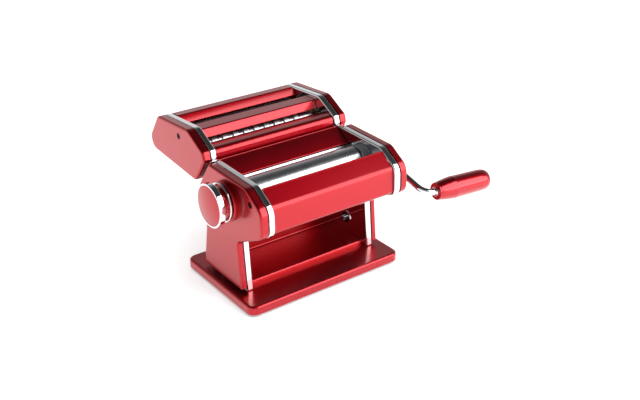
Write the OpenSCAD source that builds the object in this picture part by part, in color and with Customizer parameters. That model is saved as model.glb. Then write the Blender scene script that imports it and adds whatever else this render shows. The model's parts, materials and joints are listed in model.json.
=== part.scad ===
// Hand-cranked dough roller with a lift-off attachment of two cutter pairs.
// X runs along the rollers towards the crank, Y to the back, Z up.
// The origin is on the table, in the centre of the four feet.

/* [Rollers] */
// Distance between the inner faces of the two side frames
frame_gap = 154.4; // [140:0.2:186]
// Radius of the two smooth rollers
roller_r = 17.2; // [16:0.1:17.4]
// Smallest gap between the smooth rollers
roller_gap = 0.3; // [0.2:0.05:0.6]
// How far the front roller moves as the knob turns through its range
gap_travel = 3.0; // [2:0.1:3.4]
// Turn of the knob from the thinnest to the thickest setting, in degrees
knob_turn = 324; // [280:1:330]
// Height of the smooth rollers' axes
axis_z = 116.6; // [112:0.1:118]
// Distance of the rear roller's axis behind the origin
rear_y = 16.6; // [15:0.1:17]
// Room between a roller's end and the side frame
end_room = 7.2; // [6:0.1:10]
// Radius of the rear roller's journals
journal_r = 8; // [7:0.1:9]
// Radius of the front roller's hollow journals
hollow_r = 10.6; // [10.2:0.1:11]
// Teeth on each roller gear
gear_teeth = 14; // [12:1:16]
// Face width of the roller gears
gear_w = 4.5; // [3:0.1:5]

/* [Stand] */
// How far the base plate reaches beyond the side frames' inner faces
base_reach = 22.8; // [20:0.1:40]
// Depth of the base plate
base_depth = 134.6; // [120:0.2:162]
// Height of the base plate's top above the table
base_top = 12.9; // [10:0.1:14]
// Height of the base plate's lower edge above the table
base_lift = 2.9; // [2:0.1:5]
// Radius of the base plate's corners
base_r = 9.6; // [6:0.1:14]
// Thickness of the painted sheet
sheet_t = 1.2; // [0.8:0.1:1.6]
// Thickness of the chromed side frames
frame_t = 1.2; // [1:0.1:1.6]
// Width of the side frames' outward flange
flange_w = 6.9; // [5:0.1:7.2]
// Radius of a foot
foot_r = 8; // [6:0.1:9]
// Height of the tray's floor above the base plate
tray_rise = 5.7; // [4:0.1:10]
// Bore radius of the clamp socket
clamp_r = 6.25; // [5:0.05:6.6]

/* [Covers] */
// Dark gap between the frame's flange and the side cover
cover_gap = 1.4; // [0.8:0.1:1.8]
// Distance of the leg cover's outer face from the frame's inner face
leg_cover = 14.5; // [12:0.1:16]
// Distance of the head cover's outer face from the frame's inner face
head_cover = 17; // [17:0.1:21]
// Wall of the side covers
cover_t = 1.5; // [1:0.1:1.7]

/* [Knob] */
// Radius of the knob's chromed ring
knob_r = 23.6; // [22:0.1:26]
// Length of the knob from its flange to its face
knob_len = 16; // [14:0.1:18]
// How far the knob pulls out to release its catch
knob_pull = 4; // [3:0.1:5]
// Radius of the gap spindle
spindle_r = 4; // [3.5:0.1:4.2]

/* [Crank] */
// Radius of the crank's rod
rod_r = 3.75; // [3:0.05:4]
// Distance from the roller's axis to the grip's axis
crank_throw = 100; // [80:1:101]
// Angle by which the arm leans outwards, away from the machine
crank_splay = 6; // [3:1:14]
// Arm's angle below the horizontal at rest, towards the front
crank_drop = 20; // [0:1:60]
// Length of the grip
grip_len = 74; // [66:1:100]
// Largest radius of the grip
grip_r = 13.2; // [11:0.1:14]

/* [Cutter] */
// Radius of the cutting rollers
cutter_r = 9.6; // [9:0.05:9.7]
// How deep the lands of a pair pass each other
cutter_mesh = 1.3; // [1:0.05:1.6]
// Distance between the wide pair and the fine pair
pair_gap = 20.3; // [20:0.05:21]
// Width of one wide strip
wide_cut = 6.75; // [5:0.05:8]
// Width of one fine strip
fine_cut = 1.6; // [1.4:0.05:2.4]

/* [Clearances] */
// Radial clearance of a shaft in its bush
run = 0.05; // [0.02:0.01:0.1]
// Clearance between sliding faces
slide = 0.2; // [0.15:0.05:0.4]
// Side clearance of a land in its groove
land_gap = 0.15; // [0.1:0.01:0.2]

/* [Hidden] */
$fn = 64;

// Places along X, all measured from the centre
plate_x = frame_gap / 2;
base_len = frame_gap + 2 * base_reach;
plate_out = plate_x + frame_t;
flange_x = plate_x + flange_w;
cover_x = flange_x + cover_gap;
leg_x = plate_x + leg_cover;
head_x = plate_x + head_cover;
roller_x = plate_x - end_room;
gear_x = plate_out + 0.5;
block_x = gear_x + gear_w + 0.6;
block_t = 4;
cam_x = block_x + block_t + 0.4;
cam_t = 2.2;
bridge_x = cam_x + cam_t + 0.3;

// The two smooth rollers
axis_gap = 2 * roller_r + roller_gap;
front_y = rear_y - axis_gap;
hollow_wall = 2.4;
gear_m = axis_gap / gear_teeth;
gear_top = 0.87 * gear_m;
gear_root = axis_gap / 2 - gear_top - 0.45;
gear_tip = axis_gap / 2 + gear_top;
gear_backlash = 0.25;
pressure = 25;

// Snail cams and the posts they push
cam_r0 = spindle_r + 2;
cam_rise = gap_travel / knob_turn;
cam_clear = 0.25;
post_r = 2;
post_y = cam_r0 + cam_clear + post_r;
block_h = gear_tip + 0.9;
block_half = 12.5;
rail_t = 2;

// Sockets that take the crank
socket_r = 8;
socket_bore = rod_r + 0.08;
socket_end = head_x + 4.9;
socket_depth = 12;
key_t = 2.2;
key_w = 10;
key_len = 7;
key_gap = 0.2;

// Knob, from its boss outwards
boss_r = 22;
boss_t = 4.5;
boss_x = head_x + boss_t;
knob_x0 = boss_x + 1.2;
knob_x1 = knob_x0 + knob_len;
knob_flange = 2.6;
knob_band = 7;
knob_crown = 2;
knob_waist = 17;

// Crank path, measured from the centre and from the roller's axis
rod_bend = 16;
grip_lean = 5;
arm_angle = 90 - crank_splay;
crank_lean = crank_throw * tan(crank_splay);
bend_reach = rod_bend * tan(arm_angle / 2);
elbow_x = socket_end + 16.6;
knee = [elbow_x + crank_lean, crank_throw];
knee_reach = rod_bend * tan((arm_angle - grip_lean) / 2);
// Distance of the grip's inner end from the knee, along the grip's axis
grip_at = knee_reach + 0.6;

// The side frame's outline in Y and Z, and the radius of each corner
leg_back = [41.5, base_top];
leg_waist = [32, 68];
head_back = [44.5, 113.5];
head_top = [22.6, 144.4];
head_front = [-54.8, 143.4];
head_nose = [-81, 127.3];
head_chin = [-81.8, 97.6];
leg_joint = [-30.9, 73.3];
leg_front = [-36.7, base_top];
frame_pts = [leg_back, leg_waist, head_back, head_top, head_front,
    head_nose, head_chin, leg_joint, leg_front];
frame_radii = [2, 30, 9, 5, 14, 16, 12, 8, 2];
split_z = 76;

// Cutter axes: a line of four rollers, rising to the back
cut_pitch = 2 * cutter_r - cutter_mesh;
cut_rise = 6;
cut_start = [48.4, 139.8];
cut_dir = [cos(cut_rise), sin(cut_rise)];
wide_front = cut_start;
wide_rear = cut_start + cut_pitch * cut_dir;
fine_front = wide_rear + pair_gap * cut_dir;
fine_rear = fine_front + cut_pitch * cut_dir;
cut_root = cutter_r - cutter_mesh - 0.3;
cut_journal = 5;
cut_teeth = 12;
cut_gear_w = 3;
wide_gear_x = plate_out + 0.5;
fine_gear_x = wide_gear_x + cut_gear_w + 0.8;
cut_socket_r = 6.4;
cut_socket_x = fine_gear_x + cut_gear_w + 0.6;

// The cutter's outline in Y and Z
dock_gap = 1;
cutter_pts = [[45.4, 114], [140.5, 120.6], [144.8, 134.5], [124.5, 163.6],
    [56.9, 168.6], [27.2, 152.6], [24.8, 143]];
cutter_radii = [8, 11, 12, 9, 14, 5, 4];

// The slanted back of the head: its direction upwards and its outward normal
slant_up = unit(head_top - head_back);
slant_out = [slant_up[1], -slant_up[0]];
dock_mid = head_back + 0.45 * (head_top - head_back);

// The side covers stand back from the slant, where the frame's flange is wider instead
cover_back_off = 5;
dock_flange = 3;
function off_slant(p, q) = let(u = unit(q - p)) p - u * (cover_back_off / (u * slant_out));
cover_pts = [leg_back, leg_waist, off_slant(head_back, leg_waist), off_slant(head_top, head_front),
    head_front, head_nose, head_chin, leg_joint, leg_front];
dock_len = 22;
dock_x = 58;

// Screws
screw_r = 1.5;
screw_head = 3;
cover_screw = [-62.7, 129.3];
cutter_screw = [76.8, 155.2];

// ---- Outline helpers: a polygon's corners turned into arcs, and its edges moved in

arc_steps = 6;
function unit(v) = v / norm(v);
function left(v) = [-v[1], v[0]];
function spin(v, a) = [v[0] * cos(a) - v[1] * sin(a), v[0] * sin(a) + v[1] * cos(a)];
function turn(u, v) = atan2(u[0] * v[1] - u[1] * v[0], u * v);
function corner(a, b, c, r) = let(
        u = unit(b - a), v = unit(c - b), w = turn(u, v),
        start = b - r * tan(abs(w) / 2) * u,
        middle = start + sign(w) * r * left(u))
    r <= 0 || abs(w) < 1 ? [b] :
    [for (k = [0 : arc_steps]) middle + spin(start - middle, w * k / arc_steps)];
function at(list, i) = list[(i + len(list)) % len(list)];
function rounded(p, r) = [for (i = [0 : len(p) - 1])
    each corner(at(p, i - 1), p[i], at(p, i + 1), is_list(r) ? r[i] : r)];
function moved_in(p, d) = [for (i = [0 : len(p) - 1]) let(
        m = -left(unit(p[i] - at(p, i - 1))), n = -left(unit(at(p, i + 1) - p[i])))
    p[i] - d * (m + n) / (1 + m * n)];
// An outline moved in by d: outer corners lose d of radius, inner corners gain it
function shrink_radii(p, r, d) = [for (i = [0 : len(p) - 1]) let(
        w = turn(unit(p[i] - at(p, i - 1)), unit(at(p, i + 1) - p[i])))
    max(0.2, w > 0 ? r[i] - d : r[i] + d)];
function outline(p, r, d = 0) = rounded(moved_in(p, d), shrink_radii(p, r, d));

// A strip of thickness t to the left of an open path, with round bends
function path_points(p, r) = concat([p[0]],
    [for (i = [1 : len(p) - 2]) each corner(p[i - 1], p[i], p[i + 1], r)], [p[len(p) - 1]]);
function path_side(p, t) = [for (i = [0 : len(p) - 1]) let(
        m = left(unit(p[max(i, 1)] - p[max(i, 1) - 1])),
        n = left(unit(p[min(i + 1, len(p) - 1)] - p[min(i + 1, len(p) - 1) - 1])))
    p[i] + t * (m + n) / (1 + m * n)];
function strip(p, t, r) = let(q = path_points(p, r), s = path_side(q, t))
    concat(q, [for (i = [len(s) - 1 : -1 : 0]) s[i]]);

// Extrude an outline drawn in Y and Z from x0 to x1
module along_x(x0, x1, pts) {
    translate([x0, 0, 0]) rotate([90, 0, 90]) linear_extrude(x1 - x0) polygon(pts);
}
// A cylinder along X at a point in Y and Z
module rod_x(x0, x1, at_yz, r) {
    translate([x0, at_yz[0], at_yz[1]]) rotate([0, 90, 0]) cylinder(r = r, h = x1 - x0);
}
module tube_x(x0, x1, at_yz, r, bore) {
    difference() {
        rod_x(x0, x1, at_yz, r);
        rod_x(x0 - 1, x1 + 1, at_yz, bore);
    }
}
// A hole long enough for a round shaft that moves forward by go
module slot_x(x0, x1, at_yz, r, go) {
    rod_x(x0, x1, at_yz, r);
    rod_x(x0, x1, at_yz - [go, 0], r);
    translate([x0, at_yz[0] - go, at_yz[1] - r]) cube([x1 - x0, go, 2 * r]);
}
module box(low, high) {
    translate(low) cube(high - low);
}
module both_sides() {
    children();
    mirror([1, 0, 0]) children();
}
rear_axis = [rear_y, axis_z];
front_axis = [front_y, axis_z];

// ---- Involute gear, drawn at its own centre

function involute(rb, a) = rb * [cos(a) + a * PI / 180 * sin(a), sin(a) - a * PI / 180 * cos(a)];
function roll_at(rb, r) = sqrt(max(0, r * r / (rb * rb) - 1)) * 180 / PI;
function polar(r, a) = r * [cos(a), sin(a)];
// One flank from the root to the tip, as radius and angle from the tooth's middle
function flank(rp, tip, root, n) = let(
        rb = rp * cos(pressure),
        half = 90 / n - gear_backlash / 2 / rp * 180 / PI,
        lead = half + tan(pressure) * 180 / PI - pressure,
        low = max(root, rb))
    concat(root < rb ? [[root, lead]] : [], [for (k = [0 : 5]) let(
        r = low + (tip - low) * k / 5, q = involute(rb, roll_at(rb, r)))
        [r, lead - atan2(q[1], q[0])]]);
function gear_points(rp, tip, root, n, phase) = let(f = flank(rp, tip, root, n))
    [for (k = [0 : n - 1]) let(mid = phase + 360 * k / n) each concat(
        [for (q = f) polar(q[0], mid - q[1])],
        [for (i = [len(f) - 1 : -1 : 0]) polar(f[i][0], mid + f[i][1])])];
module gear_on_x(x0, w, at_yz, rp, tip, root, n, phase, bore) {
    difference() {
        translate([0, at_yz[0], at_yz[1]]) along_x(x0, x0 + w, gear_points(rp, tip, root, n, phase));
        rod_x(x0 - 1, x0 + w + 1, at_yz, bore);
    }
}

// ---- Stand

module base_plate() color("firebrick") {
    difference() {
        translate([0, 0, base_lift]) linear_extrude(base_top - base_lift)
            polygon(rounded(base_outline(0), base_r));
        translate([0, 0, base_lift - 1]) linear_extrude(base_top - base_lift + 1 - sheet_t)
            polygon(rounded(base_outline(sheet_t), base_r - sheet_t));
        for (q = screw_spots()) translate([q[0], q[1], base_top - sheet_t - 1])
            cylinder(r = screw_r + 0.05, h = sheet_t + 2);
    }
}
function base_outline(d) = let(x = base_len / 2 - d, y = base_depth / 2 - d)
    [[x, -y], [x, y], [-x, y], [-x, -y]];
function screw_spots() = [for (x = [-1, 1], y = [-22, 26]) [x * (plate_x + flange_w / 2 + 0.4), y]];

module rubber_feet() color("dimgray") {
    for (x = [-1, 1], y = [-1, 1])
        translate([x * (base_len / 2 - 14), y * (base_depth / 2 - 14), 0]) {
            cylinder(r = foot_r, h = base_lift);
            cylinder(r = foot_r - 1.2, h = base_top - sheet_t);
        }
}

nut_r = min(2.4, (flange_w - frame_t) / 2 - 0.3);
module base_screws() color("silver") {
    for (q = screw_spots()) translate([q[0], q[1], 0]) {
        translate([0, 0, base_top - sheet_t - 1.6]) cylinder(r = screw_head, h = 1.6);
        translate([0, 0, base_top - sheet_t]) cylinder(r = screw_r, h = sheet_t + frame_t + 3);
        translate([0, 0, base_top + frame_t]) cylinder(r = nut_r, h = 2, $fn = 6);
    }
}

tray_z = base_top + tray_rise;
tray_back = 30;
tray_front = -28;
module stand_tray() color("firebrick") {
    x = plate_x - slide;
    // back wall, floor and front lip, one folded sheet
    along_x(-x, x, strip([[tray_back - 3, leg_joint[1]], [tray_back, tray_z],
        [tray_front, tray_z], [tray_front, base_top]], sheet_t, 1.5));
    // ears that meet the legs
    both_sides() {
        box([plate_x - 1.2, tray_front + 4, tray_z - 4.4], [plate_x, tray_back - 6, tray_z - sheet_t]);
    }
}

// A strip along the slant, from a distance above its lower corner to one above its upper corner
function slant_strip(low, high) = let(in = cover_back_off - 0.6, a = head_back + low * slant_up,
        b = head_top + high * slant_up)
    [a + 2 * slant_out, b + 2 * slant_out, b - in * slant_out, a - in * slant_out];
module side_frame_shape() {
    difference() {
        union() {
            along_x(plate_x, flange_x, outline(frame_pts, frame_radii));
            intersection() {
                along_x(flange_x - 1, flange_x + dock_flange, outline(frame_pts, frame_radii));
                along_x(flange_x - 2, flange_x + dock_flange + 1, slant_strip(5, 8));
            }
        }
        along_x(plate_out, flange_x + dock_flange + 1, outline(frame_pts, frame_radii, frame_t));
        slot_x(plate_x - 1, plate_out + 1, front_axis, hollow_r + 0.5, gap_travel);
        rod_x(plate_x - 1, plate_out + 1, rear_axis, journal_r + bush_wall);
        for (q = tie_spots) rod_x(plate_x - 1, plate_out + 1, q, tie_end + 0.05);
        for (q = screw_spots()) translate([abs(q[0]), q[1], base_top - 1])
            cylinder(r = screw_r + 0.05, h = frame_t + 2);
    }
}
module left_side_frame() color("silver") mirror([1, 0, 0]) side_frame_shape();
module right_side_frame() color("silver") difference() {
    side_frame_shape();
    rod_x(plate_x - 1, plate_out + 1, clamp_yz, clamp_out);
}

clamp_yz = [2.4, 35.6];
clamp_out = clamp_r + 0.9;
module clamp_ferrule() color("silver") difference() {
    union() {
        rod_x(plate_x - 0.9, plate_x, clamp_yz, clamp_r + 2);
        rod_x(plate_x - 0.9, leg_x - cover_t, clamp_yz, clamp_out);
    }
    rod_x(plate_x - 2, leg_x - cover_t - 0.8, clamp_yz, clamp_r);
}

tie_end = 2.5;
tie_r = 4;
tie_spots = [[-66, 106], [25, 79.5]];
module tie_rods() color("silver") {
    for (q = tie_spots) {
        rod_x(-plate_x, plate_x, q, tie_r);
        rod_x(-plate_out - 4.4, plate_out + 4.4, q, tie_end);
    }
}
module tie_rod_nuts() color("silver") both_sides() {
    for (q = tie_spots) difference() {
        translate([plate_out, q[0], q[1]]) rotate([0, 90, 0]) cylinder(r = 4.6, h = 3.6, $fn = 6);
        rod_x(plate_out - 1, plate_out + 5, q, tie_end);
    }
}

// ---- Side covers: a deep head and a shallower leg

module cover_shell(pts, radii, x_out, x_in = cover_x) {
    step = 1.6;
    difference() {
        union() {
            along_x(x_in, x_out - step, outline(pts, radii));
            along_x(x_out - step, x_out, outline(pts, radii, step * 0.6));
        }
        along_x(x_in - 1, x_out - step - 0.3, outline(pts, radii, cover_t));
        along_x(x_in - 1, x_out - cover_t, outline(pts, radii, cover_t + step * 0.6));
    }
}
module above(z) { box([0, -200, z], [200, 300, 400]); }
module side_cover_shape() difference() {
    union() {
        difference() {
            cover_shell(cover_pts, frame_radii, leg_x);
            above(split_z);
            box([0, -200, 0], [200, 300, base_top + 5.1]);
        }
        intersection() {
            cover_shell(cover_pts, frame_radii, head_x);
            above(split_z);
        }
        // ledge that closes the step between the head and the leg
        intersection() {
            along_x(leg_x - cover_t, head_x, outline(cover_pts, frame_radii, 1.3));
            box([0, -200, split_z], [200, 300, split_z + cover_t]);
        }
        rod_x(head_x - 4, head_x, cover_screw, screw_head + 1.6);
    }
    rod_x(head_x - 2.2, head_x + 1, cover_screw, screw_head + 0.4);
    rod_x(head_x - 5, head_x + 1, cover_screw, screw_r + 0.05);
}
module left_side_cover() color("firebrick") mirror([1, 0, 0]) difference() {
    side_cover_shape();
    rod_x(head_x - 3, head_x + 1, front_axis, spindle_r + 1);
}
module right_side_cover() color("firebrick") difference() {
    side_cover_shape();
    rod_x(head_x - 3, head_x + 1, rear_axis, socket_r + 0.6);
}

module post_shape(at_yz) {
    difference() {
        rod_x(plate_out, head_x - 4, at_yz, 3.4);
        rod_x(plate_out + 4, head_x - 3, at_yz, screw_r);
    }
}
module screw_shape(at_yz) {
    rod_x(head_x - 2.2, head_x - 0.6, at_yz, screw_head);
    rod_x(plate_out + 5, head_x - 2.2, at_yz, screw_r);
}
module cover_posts() color("silver") both_sides() post_shape(cover_screw);
module cover_screws() color("silver") both_sides() screw_shape(cover_screw);

module knob_boss() color("firebrick") mirror([1, 0, 0])
    tube_x(head_x, boss_x, front_axis, boss_r, spindle_r + 1);
module crank_bezel() color("silver") tube_x(head_x, head_x + 1.2, rear_axis, socket_r + 3.4, socket_r + 0.6);

// ---- Folded sheets between the side frames

sheet_x = plate_x - 0.7;
front_edge = [-55.6, 141.2];
module front_cover() color("firebrick") {
    along_x(-sheet_x, sheet_x, strip([front_edge - [1.6, 3.6], front_edge, [-76.2, 126.2],
        [-77.8, 98.6], [-68, 92.8]], sheet_t, 2.4));
    both_sides() box([sheet_x - 0.6, -76.6, 100], [plate_x, -73, 118]);
}

hopper_top = [20.4, 142.9];
hopper_low = [1.2, 129.6];
module hopper_plate() color("firebrick") {
    along_x(-sheet_x, sheet_x, strip([hopper_top, hopper_low], sheet_t, 0));
    both_sides() box([sheet_x - 0.6, 12, 134.6], [plate_x, 13.4, 136.8]);
}
function slant_in(z, d) = let(p = head_top - d * slant_out) p + (z - p[1]) / slant_up[1] * slant_up;
module rear_panel() color("firebrick") {
    along_x(-sheet_x, sheet_x, strip([slant_in(142.4, 2), slant_in(112, 2), [31.2, 76],
        [tray_back - 1.4, leg_joint[1] - 3]], sheet_t, 3));
    both_sides() box([sheet_x - 0.6, 35.5, 92], [plate_x, 38, 96]);
}

// Rails with a T-shaped section that the cutter's channels slide down over
module docking_rails() color("silver") both_sides() {
    foot = dock_mid - 0.8 * slant_out;
    translate([dock_x, foot[0], foot[1]]) rotate([slant_angle, 0, 0]) {
        translate([-1, 0, -dock_len / 2]) cube([2, dock_stem, dock_len]);
        translate([-3.5, dock_stem, -dock_len / 2]) cube([7, 1.6, dock_len]);
    }
}
slant_angle = atan2(-slant_up[0], slant_up[1]) ;
dock_stem = 4.6;

// ---- Parts around the rollers, fixed to the stand

shield_r = roller_r + 0.4;
module shield_outline(x0, x1, r) {
    difference() {
        union() {
            slot_x(x0, x1, front_axis, r, gap_travel);
            rod_x(x0, x1, rear_axis, r);
            box([x0, front_y, axis_z - r], [x1, rear_y, axis_z]);
        }
        slot_x(x0 - 1, x1 + 1, front_axis, hollow_r + 0.5, gap_travel);
        rod_x(x0 - 1, x1 + 1, rear_axis, journal_r + 0.5);
    }
}
module roller_shields() color("gray") both_sides()
    shield_outline(roller_x + 1.6, plate_x, shield_r - 1);
module shield_plates() color("silver") both_sides()
    shield_outline(roller_x + 0.6, roller_x + 1.6, shield_r);

blade_t = 0.8;
module scraper_shape(y, away) {
    low = axis_z - roller_r;
    holder = [y + away * 13, low - 12];
    along_x(-roller_x, roller_x, strip([[y + away * 1.2, low - 0.9], holder], blade_t * away, 0));
    rod_x(-plate_x, plate_x, holder, 2.4);
}
module scrapers() color("silver") {
    scraper_shape(rear_y, 1);
    scraper_shape(front_y, -1);
}

bush_wall = 2.5;
module rear_bushes() color("goldenrod") both_sides() {
    tube_x(plate_x, plate_out, rear_axis, journal_r + bush_wall, journal_r + run);
    tube_x(plate_out, plate_out + 0.4, rear_axis, journal_r + bush_wall + 1, journal_r + run);
    tube_x(roller_x + 0.6 + 6, plate_x, rear_axis, journal_r + 0.45, journal_r + run);
}

// A bridge over each bearing block: two rails and an outer plate that holds the spindle
module bridge_shape() color("silver") difference() {
    half = block_half + gap_travel / 2;
    mid = front_y - gap_travel / 2;
    union() {
        for (s = [-1, 1]) box(
            [plate_out, mid - half, axis_z + s * (block_h + slide + rail_t / 2) - rail_t / 2],
            [bridge_x, mid + half, axis_z + s * (block_h + slide + rail_t / 2) + rail_t / 2]);
        box([bridge_x, mid - half, axis_z - block_h - slide - rail_t],
            [bridge_x + 1.2, mid + half, axis_z + block_h + slide + rail_t]);
    }
    rod_x(bridge_x - 1, bridge_x + 3, front_axis, spindle_r + run);
}
module right_bearing_bridge() bridge_shape();
module left_bearing_bridge() mirror([1, 0, 0]) bridge_shape();

// ---- Rolling train

module rear_roller() color("lightgray") {
    rod_x(-roller_x, roller_x, rear_axis, roller_r);
    rod_x(-gear_x - gear_w, gear_x + gear_w, rear_axis, journal_r);
}
module rear_gear() color("gray") gear_on_x(gear_x, gear_w, rear_axis, axis_gap / 2, gear_tip,
    gear_root, gear_teeth, 180, journal_r);

module socket_shape(at_yz, x0, r) {
    difference() {
        rod_x(x0, socket_end, at_yz, r);
        rod_x(socket_end - socket_depth, socket_end + 1, at_yz, socket_bore);
        translate([0, at_yz[0], at_yz[1]])
            box([socket_end - key_len - 3, -key_w / 2 - key_gap, -key_t / 2 - key_gap],
                [socket_end + 1, key_w / 2 + key_gap, key_t / 2 + key_gap]);
    }
}
module drive_socket() color("silver") socket_shape(rear_axis, gear_x + gear_w, socket_r);

module front_roller() color("lightgray") difference() {
    union() {
        rod_x(-roller_x, roller_x, front_axis, roller_r);
        rod_x(-block_x - block_t, block_x + block_t, front_axis, hollow_r);
    }
    rod_x(-block_x - block_t - 1, block_x + block_t + 1, front_axis, hollow_r - hollow_wall);
}
module front_gear() color("gray") gear_on_x(gear_x, gear_w, front_axis, axis_gap / 2, gear_tip,
    gear_root, gear_teeth, 180 / gear_teeth, hollow_r);

module bearing_blocks() color("dimgray") both_sides() {
    difference() {
        translate([0, front_y, axis_z])
            box([block_x, -block_half, -block_h], [block_x + block_t, block_half, block_h]);
        rod_x(block_x - 1, block_x + block_t + 1, front_axis, hollow_r + run);
    }
    arm = [front_y - post_y, axis_z];
    post_x0 = block_x + block_t;
    rod_x(post_x0, cam_x + cam_t, arm, post_r);
}

// ---- Gap setting

module gap_spindle() color("silver")
    rod_x(-knob_x1 + 3, bridge_x + 1.2, front_axis, spindle_r);

// Radius grows evenly as the cam turns; the part past its range falls back to the start
function cam_at(t) = t < 0 ? cam_r0 : t <= knob_turn + 8 ? cam_r0 + cam_rise * t :
    cam_r0 + cam_rise * knob_turn * max(0, 1 - (t - knob_turn - 8) / 14);
cam_points = [for (i = [0 : 119]) let(t = 352 - 3 * i) polar(cam_at(t > 350 ? 0 : t), 180 - t)];
module gap_cams() color("gray") both_sides() difference() {
    translate([0, front_y, axis_z]) along_x(cam_x, cam_x + cam_t, cam_points);
    rod_x(cam_x - 1, cam_x + cam_t + 1, front_axis, spindle_r);
}

module knob_hub() color("firebrick") mirror([1, 0, 0]) difference() {
    union() {
        rod_x(knob_x0 + knob_flange, knob_x1 - knob_band, front_axis, knob_waist);
        rod_x(knob_x1 - knob_band, knob_x1 - 1.8, front_axis, knob_r - 2);
    }
    rod_x(knob_x0 - 1, knob_x1, front_axis, spindle_r + run);
    rod_x(knob_x0 + knob_flange - 1, knob_x1 - knob_band, front_axis, spring_r + 1.4);
}
module knob_ring() color("silver") mirror([1, 0, 0]) {
    tube_x(knob_x1 - knob_band, knob_x1 - 0.4, front_axis, knob_r, knob_r - 2);
    tube_x(knob_x0, knob_x0 + knob_flange, front_axis, knob_r - 2.4, spring_r + 1.4);
}
module knob_cap() color("firebrick") mirror([1, 0, 0]) translate([knob_x1 - 1.8, front_y, axis_z])
    rotate([0, 90, 0]) rotate_extrude() polygon(concat([[0, 0], [knob_r - 2, 0]],
        [for (k = [0 : 8]) let(t = 1 - k / 8) [(knob_r - 2) * t, 1.2 + knob_crown * (1 - t * t)]]));

// A coil around the spindle, between the cover's boss and the knob's hub
spring_r = 6.2;
spring_wire = 0.6;
spring_turns = 4;
spring_sides = 6;
spring_rings = 16 * spring_turns + 1;
spring_x0 = boss_x + spring_wire;
spring_x1 = knob_x1 - knob_band - spring_wire;
function coil(i) = let(a = 360 * i / 16, k = i / (spring_rings - 1))
    [-(spring_x0 + (spring_x1 - spring_x0) * k), front_y + spring_r * cos(a), axis_z + spring_r * sin(a)];
module knob_spring() color("silver") polyhedron(
    points = [for (i = [0 : spring_rings - 1], j = [0 : spring_sides - 1]) let(
            a = 360 * i / 16, b = 360 * j / spring_sides, c = coil(i))
        c + spring_wire * [sin(b), cos(b) * cos(a), cos(b) * sin(a)]],
    faces = concat(
        [[for (j = [0 : spring_sides - 1]) j]],
        [[for (j = [spring_sides - 1 : -1 : 0]) (spring_rings - 1) * spring_sides + j]],
        [for (i = [0 : spring_rings - 2], j = [0 : spring_sides - 1]) let(
                k = (j + 1) % spring_sides, p = i * spring_sides, q = p + spring_sides)
            each [[p + j, q + j, q + k], [p + j, q + k, p + k]]]));

// ---- Crank: a rod bent twice, in the plane of X and the arm

crank_end = grip_at + grip_len - 9;
// A straight stretch between two points of the crank's plane
module rod_run(a, b) {
    d = b - a;
    translate([a[0], a[1], 0]) rotate([0, 0, atan2(d[1], d[0])]) rotate([0, 90, 0])
        cylinder(r = rod_r, h = norm(d));
}
// A bend of radius rod_bend about a centre, from one angle through a sweep
module rod_elbow(c, from, sweep) {
    translate([c[0], c[1], 0]) rotate([0, 0, from]) rotate_extrude(angle = sweep)
        translate([rod_bend, 0]) circle(r = rod_r);
}
// The crank's plane laid through the rear axis, its arm pointing forward and down
module in_crank_plane() {
    translate([0, rear_y, axis_z]) rotate([180 + crank_drop, 0, 0]) children();
}
// The grip's axis laid along Z, with its inner end at the origin
module on_grip_axis() in_crank_plane() translate([knee[0], knee[1], 0]) rotate([0, 0, grip_lean])
    rotate([0, 90, 0]) translate([0, 0, grip_at]) children();
module crank_rod() color("silver") {
    up = [cos(arm_angle), sin(arm_angle)];
    along = [cos(grip_lean), sin(grip_lean)];
    elbow = [elbow_x, 0];
    stub_x = socket_end - socket_depth + 0.5;
    in_crank_plane() {
        rod_run(elbow - [bend_reach, 0], [stub_x, 0]);
        rod_elbow([elbow_x - bend_reach, rod_bend], -90, arm_angle);
        rod_run(elbow + bend_reach * up, knee - knee_reach * up);
        rod_elbow(knee + knee_reach * along + rod_bend * [along[1], -along[0]],
            90 + grip_lean, arm_angle - grip_lean);
        rod_run(knee + knee_reach * along, knee + crank_end * along);
        // flats that carry the turn into the socket
        rotate([-180 - crank_drop, 0, 0])
            box([socket_end - key_len - 2.5, -key_w / 2, -key_t / 2],
                [socket_end - 2.5, key_w / 2, key_t / 2]);
    }
    // collar that the grip ring bears on
    on_grip_axis() translate([0, 0, -1.2]) cylinder(r = rod_r + 1.6, h = 1);
}
grip_bore = rod_r + 0.08;
// Radius of the grip along its length: narrow at the crank, fullest at a third, round at the end
grip_profile = [[0, 0.775], [0.1, 0.855], [0.22, 0.95], [0.31, 1], [0.345, 0.99], [0.6, 0.975],
    [0.82, 0.96], [0.9, 0.93], [0.955, 0.85], [0.985, 0.71], [1, 0.48]];
module crank_grip() color("crimson") on_grip_axis()
    rotate_extrude() polygon(concat(
        [[grip_bore, grip_ring_t]],
        [[grip_profile[0][1] * grip_r, grip_ring_t]],
        [for (i = [1 : len(grip_profile) - 1]) [grip_profile[i][1] * grip_r, grip_profile[i][0] * grip_len]],
        [[0, grip_len], [0, grip_len - 8], [grip_bore, grip_len - 8]]));
grip_ring_t = 2;
module grip_ring() color("maroon") on_grip_axis()
    difference() {
        cylinder(r = grip_profile[0][1] * grip_r - 0.2, h = grip_ring_t);
        translate([0, 0, -1]) cylinder(r = grip_bore, h = grip_ring_t + 2);
    }

// ---- Cutter attachment

module cutter_frame_shape() difference() {
    along_x(plate_x, flange_x, outline(cutter_pts, cutter_radii));
    along_x(plate_out, flange_x + 1, outline(cutter_pts, cutter_radii, frame_t));
    for (q = [wide_front, wide_rear, fine_front, fine_rear])
        rod_x(plate_x - 1, plate_out + 1, q, cut_journal + cut_bush);
    for (q = cutter_ties) rod_x(plate_x - 1, plate_out + 1, q, tie_end + 0.05);
}
module cutter_left_frame() color("silver") mirror([1, 0, 0]) cutter_frame_shape();
module cutter_right_frame() color("silver") cutter_frame_shape();

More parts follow.
